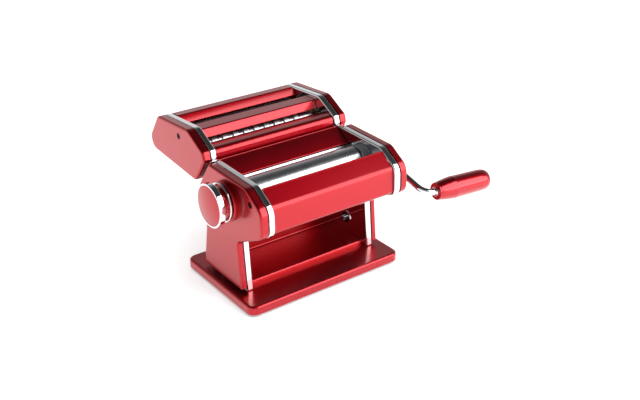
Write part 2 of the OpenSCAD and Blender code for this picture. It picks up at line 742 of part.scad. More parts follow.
module cutter_cover_shape() difference() {
    union() {
        cover_shell(cutter_pts, cutter_radii, head_x);
        rod_x(head_x - 4, head_x, cutter_screw, screw_head + 1.6);
    }
    rod_x(head_x - 2.2, head_x + 1, cutter_screw, screw_head + 0.4);
    rod_x(head_x - 5, head_x + 1, cutter_screw, screw_r + 0.05);
}
module cutter_left_cover() color("firebrick") mirror([1, 0, 0]) cutter_cover_shape();
module cutter_right_cover() color("firebrick") difference() {
    cutter_cover_shape();
    for (q = [wide_rear, fine_rear]) rod_x(head_x - 3, head_x + 1, q, cut_socket_r + 0.5);
}
module cutter_posts() color("silver") both_sides() post_shape(cutter_screw);
module cutter_screws() color("silver") both_sides() screw_shape(cutter_screw);

// The cutter's front wall stands off the slanted back of the head
function dock_in(z, d) = let(p = head_top + (dock_gap + d) * slant_out)
    p + (z - p[1]) / slant_up[1] * slant_up;
nose_in = 0.9;
module cutter_nose_cover() color("firebrick") {
    difference() {
        along_x(-sheet_x, sheet_x, strip([dock_in(117, nose_in + sheet_t), dock_in(142, nose_in + sheet_t),
            [29.2 + sheet_t, 151.6 - sheet_t], [37, 152.2 - sheet_t], [51.4, 150.6 - sheet_t]], sheet_t, 2.2));
        // channels for the docking rails, open at the bottom
        both_sides() translate([dock_x, dock_mid[0], dock_mid[1]]) rotate([slant_angle, 0, 0])
            translate([-1.3, -1, -40]) cube([2.6, 6, 40 + dock_len / 2 + slide]);
    }
    both_sides() box([sheet_x - 0.6, 36, 149.5], [plate_x, 44, 150.5]);
}
module cutter_divider() color("firebrick") {
    along_x(-sheet_x, sheet_x, strip([[82.8, 157], [81, 160.6], [65, 160.9], [61.6, 153.2]], -sheet_t, 1));
    both_sides() box([sheet_x - 0.6, 68, 159.6], [plate_x, 76, 161.2]);
}
module cutter_rear_cover() color("firebrick") {
    along_x(-sheet_x, sheet_x, strip([[102.6, 157], [109, 163.3], [122.6, 162.4], [141.6, 134.4],
        [137.6, 123.4], [122, 121]], sheet_t, 3));
    both_sides() box([sheet_x - 0.6, 112, 160.6], [plate_x, 118, 163.2]);
}
cutter_ties = [[60, 121.5], [112, 125.5]];
module cutter_tie_rods() color("silver") for (q = cutter_ties) {
    rod_x(-plate_x, plate_x, q, tie_r - 0.6);
    rod_x(-plate_out - 4.4, plate_out + 4.4, q, tie_end);
    both_sides() difference() {
        translate([plate_out, q[0], q[1]]) rotate([0, 90, 0]) cylinder(r = 4.4, h = 3, $fn = 6);
        rod_x(plate_out - 1, plate_out + 5, q, tie_end);
    }
}
cut_bush = min(1.8, cut_pitch / 2 - cut_journal - 1.2);
module cutter_bushes() color("goldenrod") both_sides()
    for (q = [wide_front, wide_rear, fine_front, fine_rear]) {
        tube_x(plate_x - 0.8, plate_out, q, cut_journal + cut_bush, cut_journal + run);
        tube_x(plate_x - 0.8, plate_x, q, cut_journal + cut_bush + 1, cut_journal + run);
    }

// Lands and grooves along a cutting roller; the two rollers of a pair are offset by one strip
function land_starts(cut, offset) = [for (k = [0 : floor((2 * roller_x - cut) / (2 * cut)) - 1])
    -roller_x + offset + 2 * cut * k];
module cut_roller(at_yz, cut, offset, end_x) {
    rod_x(-roller_x, roller_x, at_yz, cut_root);
    for (x = land_starts(cut, offset)) rod_x(x + land_gap, x + cut - land_gap, at_yz, cutter_r);
    rod_x(-plate_out - 2, end_x, at_yz, cut_journal);
}
module wide_front_roller() color("lightgray") cut_roller(wide_front, wide_cut, 0, wide_gear_x + cut_gear_w);
module wide_rear_roller() color("lightgray") {
    cut_roller(wide_rear, wide_cut, wide_cut, cut_socket_x);
    socket_shape(wide_rear, cut_socket_x, cut_socket_r);
}
module fine_front_roller() color("lightgray") cut_roller(fine_front, fine_cut, 0, fine_gear_x + cut_gear_w);
module fine_rear_roller() color("lightgray") {
    cut_roller(fine_rear, fine_cut, fine_cut, cut_socket_x);
    socket_shape(fine_rear, cut_socket_x, cut_socket_r);
}
module cut_gear(x0, at_yz, phase) {
    m = cut_pitch / cut_teeth;
    gear_on_x(x0, cut_gear_w, at_yz, cut_pitch / 2, cut_pitch / 2 + 0.95 * m,
        cut_pitch / 2 - 1.2 * m, cut_teeth, cut_rise + phase, cut_journal);
}
module wide_front_gear() color("gray") cut_gear(wide_gear_x, wide_front, 0);
module wide_rear_gear() color("gray") cut_gear(wide_gear_x, wide_rear, 180 / cut_teeth);
module fine_front_gear() color("gray") cut_gear(fine_gear_x, fine_front, 0);
module fine_rear_gear() color("gray") cut_gear(fine_gear_x, fine_rear, 180 / cut_teeth);

// Combs under the rollers: a bar with a finger in each groove, to peel the strips off
finger_gap = 0.3;
module comb(at_yz, cut, offset, lean) {
    finger_w = cut - 2 * finger_gap;
    translate([0, at_yz[0], at_yz[1]]) rotate([lean, 0, 0]) {
        translate([-plate_x, -0.6, -cutter_r - 6.4]) cube([2 * plate_x, 1.2, 5.2]);
        for (x = land_starts(cut, offset)) translate([x + finger_gap, -0.6, -cutter_r - 1.4])
            cube([finger_w, 1.2, 1.4 + cutter_r - cut_root - finger_gap]);
    }
}
module cutter_combs() color("gray") {
    comb(wide_front, wide_cut, wide_cut, -14);
    comb(wide_rear, wide_cut, 0, 14);
    comb(fine_front, fine_cut, fine_cut, -14);
    comb(fine_rear, fine_cut, 0, 14);
}

base_plate();
rubber_feet();
base_screws();
stand_tray();
left_side_frame();
right_side_frame();
left_side_cover();
right_side_cover();
cover_posts();
cover_screws();
front_cover();
hopper_plate();
rear_panel();
docking_rails();
clamp_ferrule();
roller_shields();
shield_plates();
tie_rods();
tie_rod_nuts();
scrapers();
rear_bushes();
left_bearing_bridge();
right_bearing_bridge();
knob_boss();
crank_bezel();
rear_roller();
rear_gear();
drive_socket();
crank_rod();
crank_grip();
grip_ring();
front_roller();
front_gear();
bearing_blocks();
gap_spindle();
gap_cams();
knob_hub();
knob_ring();
knob_cap();
knob_spring();
cutter_left_frame();
cutter_right_frame();
cutter_left_cover();
cutter_right_cover();
cutter_nose_cover();
cutter_divider();
cutter_rear_cover();
cutter_tie_rods();
cutter_bushes();
cutter_combs();
cutter_posts();
cutter_screws();
wide_front_roller();
wide_front_gear();
wide_rear_roller();
wide_rear_gear();
fine_front_roller();
fine_front_gear();
fine_rear_roller();
fine_rear_gear();
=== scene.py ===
"""Looks of a hand-cranked dough roller with a lift-off cutter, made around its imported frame.

Lengths are in millimetres until a mesh is built, and X runs along the rollers towards the crank,
Y to the back and Z up, as in the frame.
"""

from __future__ import annotations

import json
import logging
import math
from dataclasses import dataclass
from enum import Enum
from typing import Any, Callable, Iterable, Sequence

import bmesh
import bpy
from mathutils import Matrix, Vector


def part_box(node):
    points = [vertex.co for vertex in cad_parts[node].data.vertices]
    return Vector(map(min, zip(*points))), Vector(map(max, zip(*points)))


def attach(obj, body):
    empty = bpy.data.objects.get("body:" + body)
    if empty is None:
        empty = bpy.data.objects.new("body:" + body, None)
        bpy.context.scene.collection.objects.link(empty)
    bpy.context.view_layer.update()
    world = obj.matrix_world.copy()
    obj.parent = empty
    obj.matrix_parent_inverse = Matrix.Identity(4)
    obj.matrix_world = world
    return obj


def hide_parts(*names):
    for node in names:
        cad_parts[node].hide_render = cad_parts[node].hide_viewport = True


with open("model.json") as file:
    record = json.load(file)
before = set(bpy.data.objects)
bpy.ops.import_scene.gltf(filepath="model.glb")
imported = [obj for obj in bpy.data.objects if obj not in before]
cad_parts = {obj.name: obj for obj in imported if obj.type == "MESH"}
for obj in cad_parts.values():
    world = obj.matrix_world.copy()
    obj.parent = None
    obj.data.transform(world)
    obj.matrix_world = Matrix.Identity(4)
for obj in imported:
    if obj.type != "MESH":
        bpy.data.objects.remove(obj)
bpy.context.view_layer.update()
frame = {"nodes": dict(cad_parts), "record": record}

LOG = logging.getLogger("dough_roller")
MM = 0.001
SUPPORT = 0.5  # distance of the extra loop that keeps a flat face flat beside a bend
SHARP = math.radians(32)
Spot = tuple[float, float]


# ---------------------------------------------------------------- colours and shader nodes


def linear(hex_colour: str) -> tuple[float, float, float, float]:
    """Turn an sRGB hex colour into the linear colour a shader takes.

    Args:
        hex_colour: six hex digits after a hash sign.

    Returns:
        Red, green, blue and an alpha of one.
    """
    parts = [int(hex_colour[i : i + 2], 16) / 255 for i in (1, 3, 5)]
    low = [c / 12.92 if c <= 0.04045 else ((c + 0.055) / 1.055) ** 2.4 for c in parts]
    return (low[0], low[1], low[2], 1.0)


def add_node(
    tree: bpy.types.NodeTree,
    kind: str,
    values: dict[Any, Any] | None = None,
    links: dict[Any, bpy.types.NodeSocket] | None = None,
    **settings: Any,
) -> bpy.types.Node:
    """Add a node to a tree with its settings, values and incoming links.

    Args:
        tree: the shader, world or geometry tree.
        kind: the node's type name.
        values: fixed values, by socket name or number.
        links: sockets that feed it, by socket name or number.
        **settings: the node's own options.

    Returns:
        The new node.
    """
    node = tree.nodes.new(kind)
    for name, value in settings.items():
        setattr(node, name, value)
    for key, value in (values or {}).items():
        node.inputs[key].default_value = value
    for key, source in (links or {}).items():
        tree.links.new(source, node.inputs[key])
    return node


@dataclass(frozen=True)
class Finish:
    """A surface finish: what every one of them shares. Sizes of patterns are in millimetres."""

    name: str = "plain_finish"
    colour: str = "#808080"
    shade: str = "#707070"
    metallic: float = 1.0
    roughness: float = 0.3
    roughness_swing: float = 0.06
    patch: float = 30.0
    grain: float = 1.0
    grain_depth: float = 0.02
    coat: float = 0.0
    coat_roughness: float = 0.1

    def pattern(self, tree: bpy.types.NodeTree, place: bpy.types.NodeSocket) -> bpy.types.NodeSocket:
        """Make the fine height pattern of the surface; here a plain grain."""
        grain = add_node(tree, "ShaderNodeTexNoise", {"Scale": 1 / (self.grain * MM), "Detail": 2.0}, {"Vector": place})
        return grain.outputs["Fac"]

    def build(self) -> bpy.types.Material:
        """Build the material: a base, slow patches of tone and gloss, and the fine pattern as bump.

        Returns:
            The finished material.
        """
        material = bpy.data.materials.new(self.name)
        material.use_nodes = True
        tree = material.node_tree
        tree.nodes.clear()
        place = add_node(tree, "ShaderNodeTexCoord").outputs["Object"]
        patches = add_node(
            tree, "ShaderNodeTexNoise", {"Scale": 1 / (self.patch * MM), "Detail": 3.0, "Roughness": 0.6}, {"Vector": place}
        ).outputs["Fac"]
        tone = add_node(
            tree,
            "ShaderNodeMix",
            {"A": linear(self.shade), "B": linear(self.colour)},
            {"Factor": patches},
            data_type="RGBA",
        )
        gloss = add_node(
            tree,
            "ShaderNodeMapRange",
            {
                "From Min": 0.3,
                "From Max": 0.7,
                "To Min": max(0.02, self.roughness - self.roughness_swing),
                "To Max": self.roughness + self.roughness_swing,
            },
            {"Value": patches},
        )
        bump = add_node(
            tree,
            "ShaderNodeBump",
            {"Strength": 0.6, "Distance": self.grain_depth * MM},
            {"Height": self.pattern(tree, place)},
        )
        shader = add_node(
            tree,
            "ShaderNodeBsdfPrincipled",
            {
                "Metallic": self.metallic,
                "Coat Weight": self.coat,
                "Coat Roughness": self.coat_roughness,
            },
            {
                "Base Color": tone.outputs["Result"],
                "Roughness": gloss.outputs["Result"],
                "Normal": bump.outputs["Normal"],
            },
        )
        add_node(tree, "ShaderNodeOutputMaterial", links={"Surface": shader.outputs["BSDF"]})
        return material


@dataclass(frozen=True)
class TurnedFinish(Finish):
    """A finish cut on a lathe: fine rings round the X axis."""

    ring_pitch: float = 0.8

    def pattern(self, tree: bpy.types.NodeTree, place: bpy.types.NodeSocket) -> bpy.types.NodeSocket:
        """Make rings that run round the turned axis, a little uneven."""
        rings = add_node(
            tree,
            "ShaderNodeTexWave",
            {"Scale": 2 * math.pi / 20 / (self.ring_pitch * MM), "Distortion": 0.6, "Detail": 1.0, "Detail Scale": 3.0},
            {"Vector": place},
            wave_type="BANDS",
            bands_direction="X",
        )
        return rings.outputs["Fac"]


@dataclass(frozen=True)
class BrushedFinish(Finish):
    """A sheet or bar finish drawn out along X in fine streaks."""

    stretch: float = 12.0

    def pattern(self, tree: bpy.types.NodeTree, place: bpy.types.NodeSocket) -> bpy.types.NodeSocket:
        """Make streaks along X by squeezing a fine noise."""
        drawn = add_node(tree, "ShaderNodeMapping", {"Scale": (1 / self.stretch, 1, 1)}, {"Vector": place})
        streaks = add_node(
            tree, "ShaderNodeTexNoise", {"Scale": 1 / (self.grain * MM), "Detail": 3.0}, {"Vector": drawn.outputs["Vector"]}
        )
        return streaks.outputs["Fac"]


FINISHES: dict[str, Finish] = {
    # Satin metallic enamel on pressed steel: deep red with a soft sheen and a clear top coat
    "red_enamel": Finish(
        "satin_red_enamel", "#B50218", "#AC0216", 1.0, 0.40, 0.02, 60.0, 1.2, 0.008, 0.8, 0.16
    ),
    # Glossy metallic lacquer on the turned grip: deeper shine and a sharp long highlight
    "grip_lacquer": Finish(
        "glossy_red_lacquer", "#B80318", "#AC0216", 1.0, 0.34, 0.02, 40.0, 1.5, 0.006, 1.0, 0.07
    ),
    # Bright chromium plate on steel: a mirror with faint haze where it was buffed
    "chrome": Finish("bright_chrome_plate", "#F0F1F3", "#E8EAEC", 1.0, 0.06, 0.02, 25.0, 2.5, 0.004),
    # Turned and polished aluminium rollers: satin, with rings drawn coarse enough to show
    "roller_steel": TurnedFinish(
        "turned_satin_aluminium", "#D2D4D8", "#C4C6CB", 1.0, 0.27, 0.04, 40.0, 0.8, 0.006, ring_pitch=0.9
    ),
    # Zinc-plated steel: greyer, with drawing streaks
    "plain_steel": BrushedFinish("zinc_plated_steel", "#B4B6BA", "#9C9EA3", 1.0, 0.3, 0.08, 12.0, 0.5, 0.012),
    # Blackened screw heads: dark, slightly shiny oxide
    "black_oxide": Finish("blackened_steel", "#1A1A1C", "#121214", 0.8, 0.4, 0.08, 4.0, 0.4, 0.01),
    # Machined gear steel: darker grey with cutter marks
    "gear_steel": BrushedFinish("machined_gear_steel", "#7C7E83", "#66686D", 1.0, 0.36, 0.08, 8.0, 0.4, 0.015),
    # Sintered bronze bushes: warm and slightly porous
    "bearing_bronze": Finish("sintered_bronze", "#B08A4A", "#94703A", 1.0, 0.42, 0.08, 5.0, 0.3, 0.02),
    # Moulded nylon shields and combs: dark grey with a fine spark-eroded grain
    "grey_plastic": Finish("moulded_grey_nylon", "#4A4D51", "#404347", 0.0, 0.48, 0.06, 15.0, 0.5, 0.03),
    # Moulded rubber feet: black and matt
    "black_rubber": Finish("moulded_black_rubber", "#151516", "#101011", 0.0, 0.72, 0.06, 8.0, 0.6, 0.05),
}


class Paints:
    """Builds each finish once and hands it out by the record's slot name."""

    def __init__(self) -> None:
        """Start with nothing built."""
        self.built: dict[str, bpy.types.Material] = {}

    def get(self, slot: str) -> bpy.types.Material:
        """Give the material of a slot, built on first use."""
        if slot not in self.built:
            self.built[slot] = FINISHES[slot].build()
        return self.built[slot]


PAINTS = Paints()


# ---------------------------------------------------------------- outlines and paths


def quarter_turn(steps: int) -> list[float]:
    """List the angles of a quarter circle in radians, both ends included."""
    return [math.pi / 2 * k / steps for k in range(steps + 1)]


def turned_by(v: Vector, angle: float) -> Vector:
    """Turn a flat vector by an angle in radians."""
    c, s = math.cos(angle), math.sin(angle)
    return Vector((v.x * c - v.y * s, v.x * s + v.y * c))


def bend(before: Vector, at: Vector, after: Vector, radius: float) -> tuple[float, float]:
    """Measure a bend in a flat path.

    Args:
        before: the corner before it.
        at: the corner.
        after: the corner after it.
        radius: the bend's radius.

    Returns:
        The turn in radians, positive to the left, and the length that the bend takes of each side.
    """
    u, v = (at - before).normalized(), (after - at).normalized()
    turn = math.atan2(u.x * v.y - u.y * v.x, u.dot(v))
    return turn, radius * math.tan(abs(turn) / 2)


def arc_round(before: Vector, at: Vector, after: Vector, radius: float, steps: int, rooms: Spot) -> list[Vector]:
    """Replace a corner with an arc that has a support point on each side.

    Args:
        before: the corner before it.
        at: the corner.
        after: the corner after it.
        radius: the arc's radius.
        steps: how many pieces the arc has.
        rooms: the free straight length before and after the arc.

    Returns:
        The points that take the corner's place, always steps + 3 of them.
    """
    u, v = (at - before).normalized(), (after - at).normalized()
    turn, reach = bend(before, at, after, radius)
    start = at - u * reach
    centre = start + Vector((-u.y, u.x)) * math.copysign(radius, turn)
    spoke = start - centre
    arc = [centre + turned_by(spoke, turn * k / steps) for k in range(steps + 1)]
    lead, trail = (min(SUPPORT, 0.4 * max(room, 0.0)) for room in rooms)
    return [start - u * lead, *arc, arc[-1] + v * trail]


def rounded(corners: Sequence[Vector], radii: Sequence[float], closed: bool, steps: int = 8) -> list[Vector]:
    """Round every corner of a path.

    Args:
        corners: the path's corners.
        radii: a radius for each corner.
        closed: True if the last corner joins the first one.
        steps: pieces in each arc.

    Returns:
        The rounded path's points.
    """
    n = len(corners)
    reach = [0.0] * n
    inner = range(n) if closed else range(1, n - 1)
    for i in inner:
        reach[i] = bend(corners[i - 1], corners[i], corners[(i + 1) % n], radii[i])[1]
    points: list[Vector] = [] if closed else [corners[0]]
    for i in inner:
        a, b, c = corners[i - 1], corners[i], corners[(i + 1) % n]
        rooms = ((b - a).length - reach[i - 1] - reach[i], (c - b).length - reach[i] - reach[(i + 1) % n])
        points += arc_round(a, b, c, radii[i], steps, rooms)
    return points if closed else [*points, corners[-1]]


@dataclass(frozen=True)
class Outline:
    """A closed flat outline with a radius at each corner, drawn anticlockwise."""

    corners: tuple[Spot, ...]
    radii: tuple[float, ...]

    def ring(self, inset: float = 0.0) -> list[Vector]:
        """Move the outline inwards and round its corners.

        Args:
            inset: how far each edge moves in.

        Returns:
            The points of the ring, the same number at every inset.
        """
        p = [Vector(c) for c in self.corners]
        n = len(p)
        moved, radii = [], []
        for i in range(n):
            u, v = (p[i] - p[i - 1]).normalized(), (p[(i + 1) % n] - p[i]).normalized()
            m, k = Vector((u.y, -u.x)), Vector((v.y, -v.x))
            moved.append(p[i] - inset * (m + k) / (1 + m.dot(k)))
            convex = u.x * v.y - u.y * v.x > 0
            radii.append(max(0.2, self.radii[i] - inset if convex else self.radii[i] + inset))
        return rounded(moved, radii, True)


def sheet_ring(path: Sequence[Spot], radii: Sequence[float], thickness: float, steps: int = 8) -> list[Vector]:
    """Draw the cross-section of a folded sheet with rounded free edges.

    Args:
        path: the corners of one face of the sheet.
        radii: the bend radius at each inner corner, from the first to the last.
        thickness: the sheet's thickness, positive to the left of the path.
        steps: pieces in each bend.

    Returns:
        The closed ring of the section.
    """
    spine = rounded([Vector(c) for c in path], [0.0, *radii, 0.0], False, steps)
    n = len(spine)
    other = []
    for i in range(n):
        u = (spine[max(i, 1)] - spine[max(i, 1) - 1]).normalized()
        v = (spine[min(i + 1, n - 1)] - spine[min(i + 1, n - 1) - 1]).normalized()
        m, k = Vector((-u.y, u.x)), Vector((-v.y, v.x))
        other.append(spine[i] + thickness * (m + k) / (1 + m.dot(k)))

    def edge(near: Vector, far: Vector) -> list[Vector]:
        """Round a free edge with a half circle from near to far."""
        middle = (near + far) / 2
        turn = math.copysign(math.pi, thickness)
        return [middle + turned_by(near - middle, turn * k / 6) for k in range(1, 6)]

    return [*spine, *edge(spine[-1], other[-1]), *reversed(other), *edge(other[0], spine[0])]


# ---------------------------------------------------------------- meshes


class Shape:
    """A mesh under construction, with its points in millimetres."""

    def __init__(self) -> None:
        """Start empty."""
        self.points: list[Vector] = []
        self.faces: list[tuple[int, ...]] = []

    def ring(self, points: Iterable[Vector]) -> list[int]:
        """Add points and return their numbers."""
        start = len(self.points)
        self.points.extend(Vector(p) for p in points)
        return list(range(start, len(self.points)))

    def bridge(self, one: Sequence[int], two: Sequence[int], closed: bool = True) -> None:
        """Join two rings with the same number of points by four-sided faces.

        Args:
            one: the first ring.
            two: the second ring.
            closed: False leaves out the face from the last point to the first.
        """
        n = len(one)
        for i in range(n if closed else n - 1):
            j = (i + 1) % n
            self.faces.append((one[i], one[j], two[j], two[i]))

    def loft(self, rings: Sequence[Sequence[Vector]], close_ends: bool = True, loop: bool = False) -> None:
        """Skin a row of rings.

        Args:
            rings: rings with the same number of points.
            close_ends: caps the first and last ring with one face each.
            loop: joins the last ring to the first one.
        """
        numbers = [self.ring(r) for r in rings]
        for a, b in zip(numbers, numbers[1:]):
            self.bridge(a, b)
        if loop:
            self.bridge(numbers[-1], numbers[0])
        elif close_ends:
            self.faces.append(tuple(numbers[0]))
            self.faces.append(tuple(numbers[-1]))

    def object(self, name: str) -> bpy.types.Object:
        """Make the mesh object, merged, with faces outwards and smooth where it bends gently.

        Args:
            name: the piece's name.

        Returns:
            The object, in metres, at the origin.
        """
        mesh = bpy.data.meshes.new(name)
        mesh.from_pydata([p * MM for p in self.points], [], self.faces)
        work = bmesh.new()
        work.from_mesh(mesh)
        bmesh.ops.remove_doubles(work, verts=work.verts, dist=2e-6)
        bmesh.ops.recalc_face_normals(work, faces=work.faces)
        work.to_mesh(mesh)
        work.free()
        return shown(name, mesh)


def smooth(mesh: bpy.types.Mesh) -> None:
    """Shade a mesh smooth, with its creases sharp."""
    mesh.polygons.foreach_set("use_smooth", [True] * len(mesh.polygons))
    mesh.set_sharp_from_angle(angle=SHARP)


def shown(name: str, mesh: bpy.types.Mesh) -> bpy.types.Object:
    """Link a mesh as an object with smooth faces and sharp creases."""
    smooth(mesh)
    made = bpy.data.objects.new(name, mesh)
    bpy.context.scene.collection.objects.link(made)
    return made


def baked(made: bpy.types.Object) -> bpy.types.Object:
    """Turn an object's modifiers into a plain mesh and remove them.

    Args:
        made: the object with modifiers.

    Returns:
        The same object, with the result as its mesh.
    """
    graph = bpy.context.evaluated_depsgraph_get()
    mesh = bpy.data.meshes.new_from_object(made.evaluated_get(graph), depsgraph=graph)
    made.modifiers.clear()
    made.data = mesh
    smooth(mesh)
    return made


def cut(made: bpy.types.Object, *tools: bpy.types.Object) -> bpy.types.Object:
    """Cut tools out of an object and delete them.

    Args:
        made: the object that loses material.
        *tools: closed solids.

    Returns:
        The cut object.
    """
    for tool in tools:
        modifier = made.modifiers.new("cut", "BOOLEAN")
        modifier.operation = "DIFFERENCE"
        modifier.solver = "EXACT"
        modifier.object = tool
    baked(made)
    for tool in tools:
        bpy.data.objects.remove(tool)
    return made


def joined(name: str, parts: Sequence[bpy.types.Object]) -> bpy.types.Object:
    """Put several solids in one object.

    Args:
        name: the new object's name.
        parts: the solids, which are removed.

    Returns:
        The object that holds them all.
    """
    work = bmesh.new()
    for part in parts:
        work.from_mesh(part.data)
    mesh = bpy.data.meshes.new(name)
    work.to_mesh(mesh)
    work.free()
    for part in parts:
        bpy.data.objects.remove(part)
    return shown(name, mesh)


def along_x(x: float, ring: Sequence[Vector]) -> list[Vector]:
    """Stand a flat ring of Y and Z up at one X."""
    return [Vector((x, p.x, p.y)) for p in ring]


def extruded(name: str, x0: float, x1: float, ring: Sequence[Vector]) -> bpy.types.Object:
    """Extrude a ring of Y and Z along X."""
    shape = Shape()
    shape.loft([along_x(x0, ring), along_x(x1, ring)])
    return shape.object(name)


def block(name: str, low: Sequence[float], high: Sequence[float]) -> bpy.types.Object:
    """Make a square-edged block, used as a cutting tool or a small tab."""
    shape = Shape()
    base = [(low[0], low[1]), (high[0], low[1]), (high[0], high[1]), (low[0], high[1])]
    shape.loft([[Vector((x, y, z)) for x, y in base] for z in (low[2], high[2])])
    return shape.object(name)


def turned(
    name: str,
    profile: Sequence[Spot],
    radii: Sequence[float],
    at: Spot,
    ring: bool = False,
    sides: int = 96,
    mirror: bool = False,
) -> bpy.types.Object:
    """Turn a profile about an axis along X.

    Args:
        name: the piece's name.
        profile: corners as X and radius. A solid's profile starts and ends on the axis.
        radii: the rounding at each corner.
        at: the axis in Y and Z.
        ring: True for a closed profile, as of a tube.
        sides: points round the axis.
        mirror: True for the left side, where X is measured away from the centre.

    Returns:
        The turned object.
    """
    path = rounded([Vector(p) for p in profile], radii, ring, 6)
    sign = -1.0 if mirror else 1.0
    shape = Shape()
    rows = []
    for p in path:
        spokes = [2 * math.pi * k / sides for k in range(sides)]
        rows.append([Vector((sign * p.x, at[0] + p.y * math.cos(a), at[1] + p.y * math.sin(a))) for a in spokes])
    numbers = [shape.ring(r[:1] if abs(p.y) < 1e-6 else r) for p, r in zip(path, rows)]
    pairs = list(zip(numbers, numbers[1:])) + ([(numbers[-1], numbers[0])] if ring else [])
    for a, b in pairs:
        if len(a) == 1 and len(b) > 1:
            shape.faces += [(a[0], b[k], b[(k + 1) % sides]) for k in range(sides)]
        elif len(b) == 1 and len(a) > 1:
            shape.faces += [(b[0], a[k], a[(k + 1) % sides]) for k in range(sides)]
        elif len(a) > 1:
            shape.bridge(a, b)
    return shape.object(name)


# ---------------------------------------------------------------- geometry node trees


class Repeater:
    """Geometry node trees that repeat a piece, each built once."""

    def __init__(self) -> None:
        """Start with no trees."""
        self.trees: dict[str, bpy.types.NodeTree] = {}

    def tree(self, name: str, inputs: Sequence[tuple[str, str]], body: Callable[..., Any]) -> bpy.types.NodeTree:
        """Make or find a tree that turns an input piece into placed copies.

        Args:
            name: the tree's name.
            inputs: name and socket type of each named input after the geometry.
            body: takes the tree and its input node, and gives the geometry socket to realise.

        Returns:
            The tree, which ends in Realize Instances and Set Material.
        """
        if name not in self.trees:
            tree = bpy.data.node_groups.new(name, "GeometryNodeTree")
            tree.interface.new_socket("Geometry", in_out="INPUT", socket_type="NodeSocketGeometry")
            for label, kind in inputs:
                tree.interface.new_socket(label, in_out="INPUT", socket_type=kind)
            tree.interface.new_socket("Material", in_out="INPUT", socket_type="NodeSocketMaterial")
            tree.interface.new_socket("Geometry", in_out="OUTPUT", socket_type="NodeSocketGeometry")
            source = tree.nodes.new("NodeGroupInput")
            placed = body(tree, source)
            real = add_node(tree, "GeometryNodeRealizeInstances", links={"Geometry": placed})
            dressed = add_node(
                tree,
                "GeometryNodeSetMaterial",
                links={"Geometry": real.outputs["Geometry"], "Material": source.outputs["Material"]},
            )
            add_node(tree, "NodeGroupOutput", links={0: dressed.outputs["Geometry"]})
            self.trees[name] = tree
        return self.trees[name]

    def apply(self, made: bpy.types.Object, tree: bpy.types.NodeTree, values: dict[str, Any]) -> bpy.types.Object:
        """Run a tree on an object with its inputs set by their identifiers, and bake it.

        Args:
            made: the object that is repeated.
            tree: the tree.
            values: each named input's value.

        Returns:
            The object with all its copies.
        """
        modifier = made.modifiers.new(tree.name, "NODES")
        modifier.node_group = tree
        names = {i.name: i.identifier for i in tree.interface.items_tree if i.in_out == "INPUT"}
        for name, value in values.items():
            modifier[names[name]] = value
        return baked(made)

    def row(self, made: bpy.types.Object, count: int, step: float, slot: str) -> bpy.types.Object:
        """Repeat a piece along X, as lands and fingers are.

        Args:
            made: the first one, in its place.
            count: how many there are.
            step: their spacing in millimetres.
            slot: the finish.

        Returns:
            The whole row.
        """

        def body(tree: bpy.types.NodeTree, source: bpy.types.Node) -> bpy.types.NodeSocket:
            """Put the piece on the points of a line along X."""
            step_x = add_node(tree, "ShaderNodeCombineXYZ", links={"X": source.outputs["Step"]})
            line = add_node(
                tree,
                "GeometryNodeMeshLine",
                links={"Count": source.outputs["Count"], "Offset": step_x.outputs["Vector"]},
                mode="OFFSET",
            )
            return add_node(
                tree,
                "GeometryNodeInstanceOnPoints",
                links={"Points": line.outputs["Mesh"], "Instance": source.outputs["Geometry"]},
            ).outputs["Instances"]

        tree = self.tree("row_along_x", [("Count", "NodeSocketInt"), ("Step", "NodeSocketFloat")], body)
        return self.apply(made, tree, {"Count": count, "Step": step * MM, "Material": PAINTS.get(slot)})

    def corners(self, made: bpy.types.Object, half: Spot, middle: Spot, slot: str) -> bpy.types.Object:
        """Put a piece made at the origin at the four corners of a rectangle.

        Args:
            made: the piece at the origin.
            half: half the rectangle's length and depth in millimetres.
            middle: the rectangle's centre in millimetres.
            slot: the finish.

        Returns:
            The four copies.
        """

        def body(tree: bpy.types.NodeTree, source: bpy.types.Node) -> bpy.types.NodeSocket:
            """Put the piece on the points of a two by two grid."""
            grid = add_node(
                tree,
                "GeometryNodeMeshGrid",
                {"Vertices X": 2, "Vertices Y": 2},
                {"Size X": source.outputs["Length"], "Size Y": source.outputs["Depth"]},
            )
            moved = add_node(
                tree,
                "GeometryNodeTransform",
                links={"Geometry": grid.outputs["Mesh"], "Translation": source.outputs["Centre"]},
            )
            return add_node(
                tree,
                "GeometryNodeInstanceOnPoints",
                links={"Points": moved.outputs["Geometry"], "Instance": source.outputs["Geometry"]},
            ).outputs["Instances"]

        inputs = [("Length", "NodeSocketFloat"), ("Depth", "NodeSocketFloat"), ("Centre", "NodeSocketVector")]
        tree = self.tree("four_corners", inputs, body)
        values = {
            "Length": 2 * half[0] * MM,
            "Depth": 2 * half[1] * MM,
            "Centre": (middle[0] * MM, middle[1] * MM, 0.0),
            "Material": PAINTS.get(slot),
        }
        return self.apply(made, tree, values)

    def both_ends(self, made: bpy.types.Object, slot: str) -> bpy.types.Object:
        """Repeat a piece of the right side on the left side, turned half round so that it faces out.

        Args:
            made: the right one, in its place, symmetrical about its own axis.
            slot: the finish.

        Returns:
            Both of them.
        """

        def body(tree: bpy.types.NodeTree, source: bpy.types.Node) -> bpy.types.NodeSocket:
            """Join the piece with a copy that is mirrored in X, and turn the copy's faces back."""
            copy = add_node(tree, "GeometryNodeTransform", {"Scale": (-1, 1, 1)}, {"Geometry": source.outputs["Geometry"]})
            outward = add_node(tree, "GeometryNodeFlipFaces", links={"Mesh": copy.outputs["Geometry"]})
            both = add_node(tree, "GeometryNodeJoinGeometry")
            tree.links.new(source.outputs["Geometry"], both.inputs[0])
            tree.links.new(outward.outputs["Mesh"], both.inputs[0])
            return both.outputs["Geometry"]

        tree = self.tree("both_ends", [], body)
        return self.apply(made, tree, {"Material": PAINTS.get(slot)})

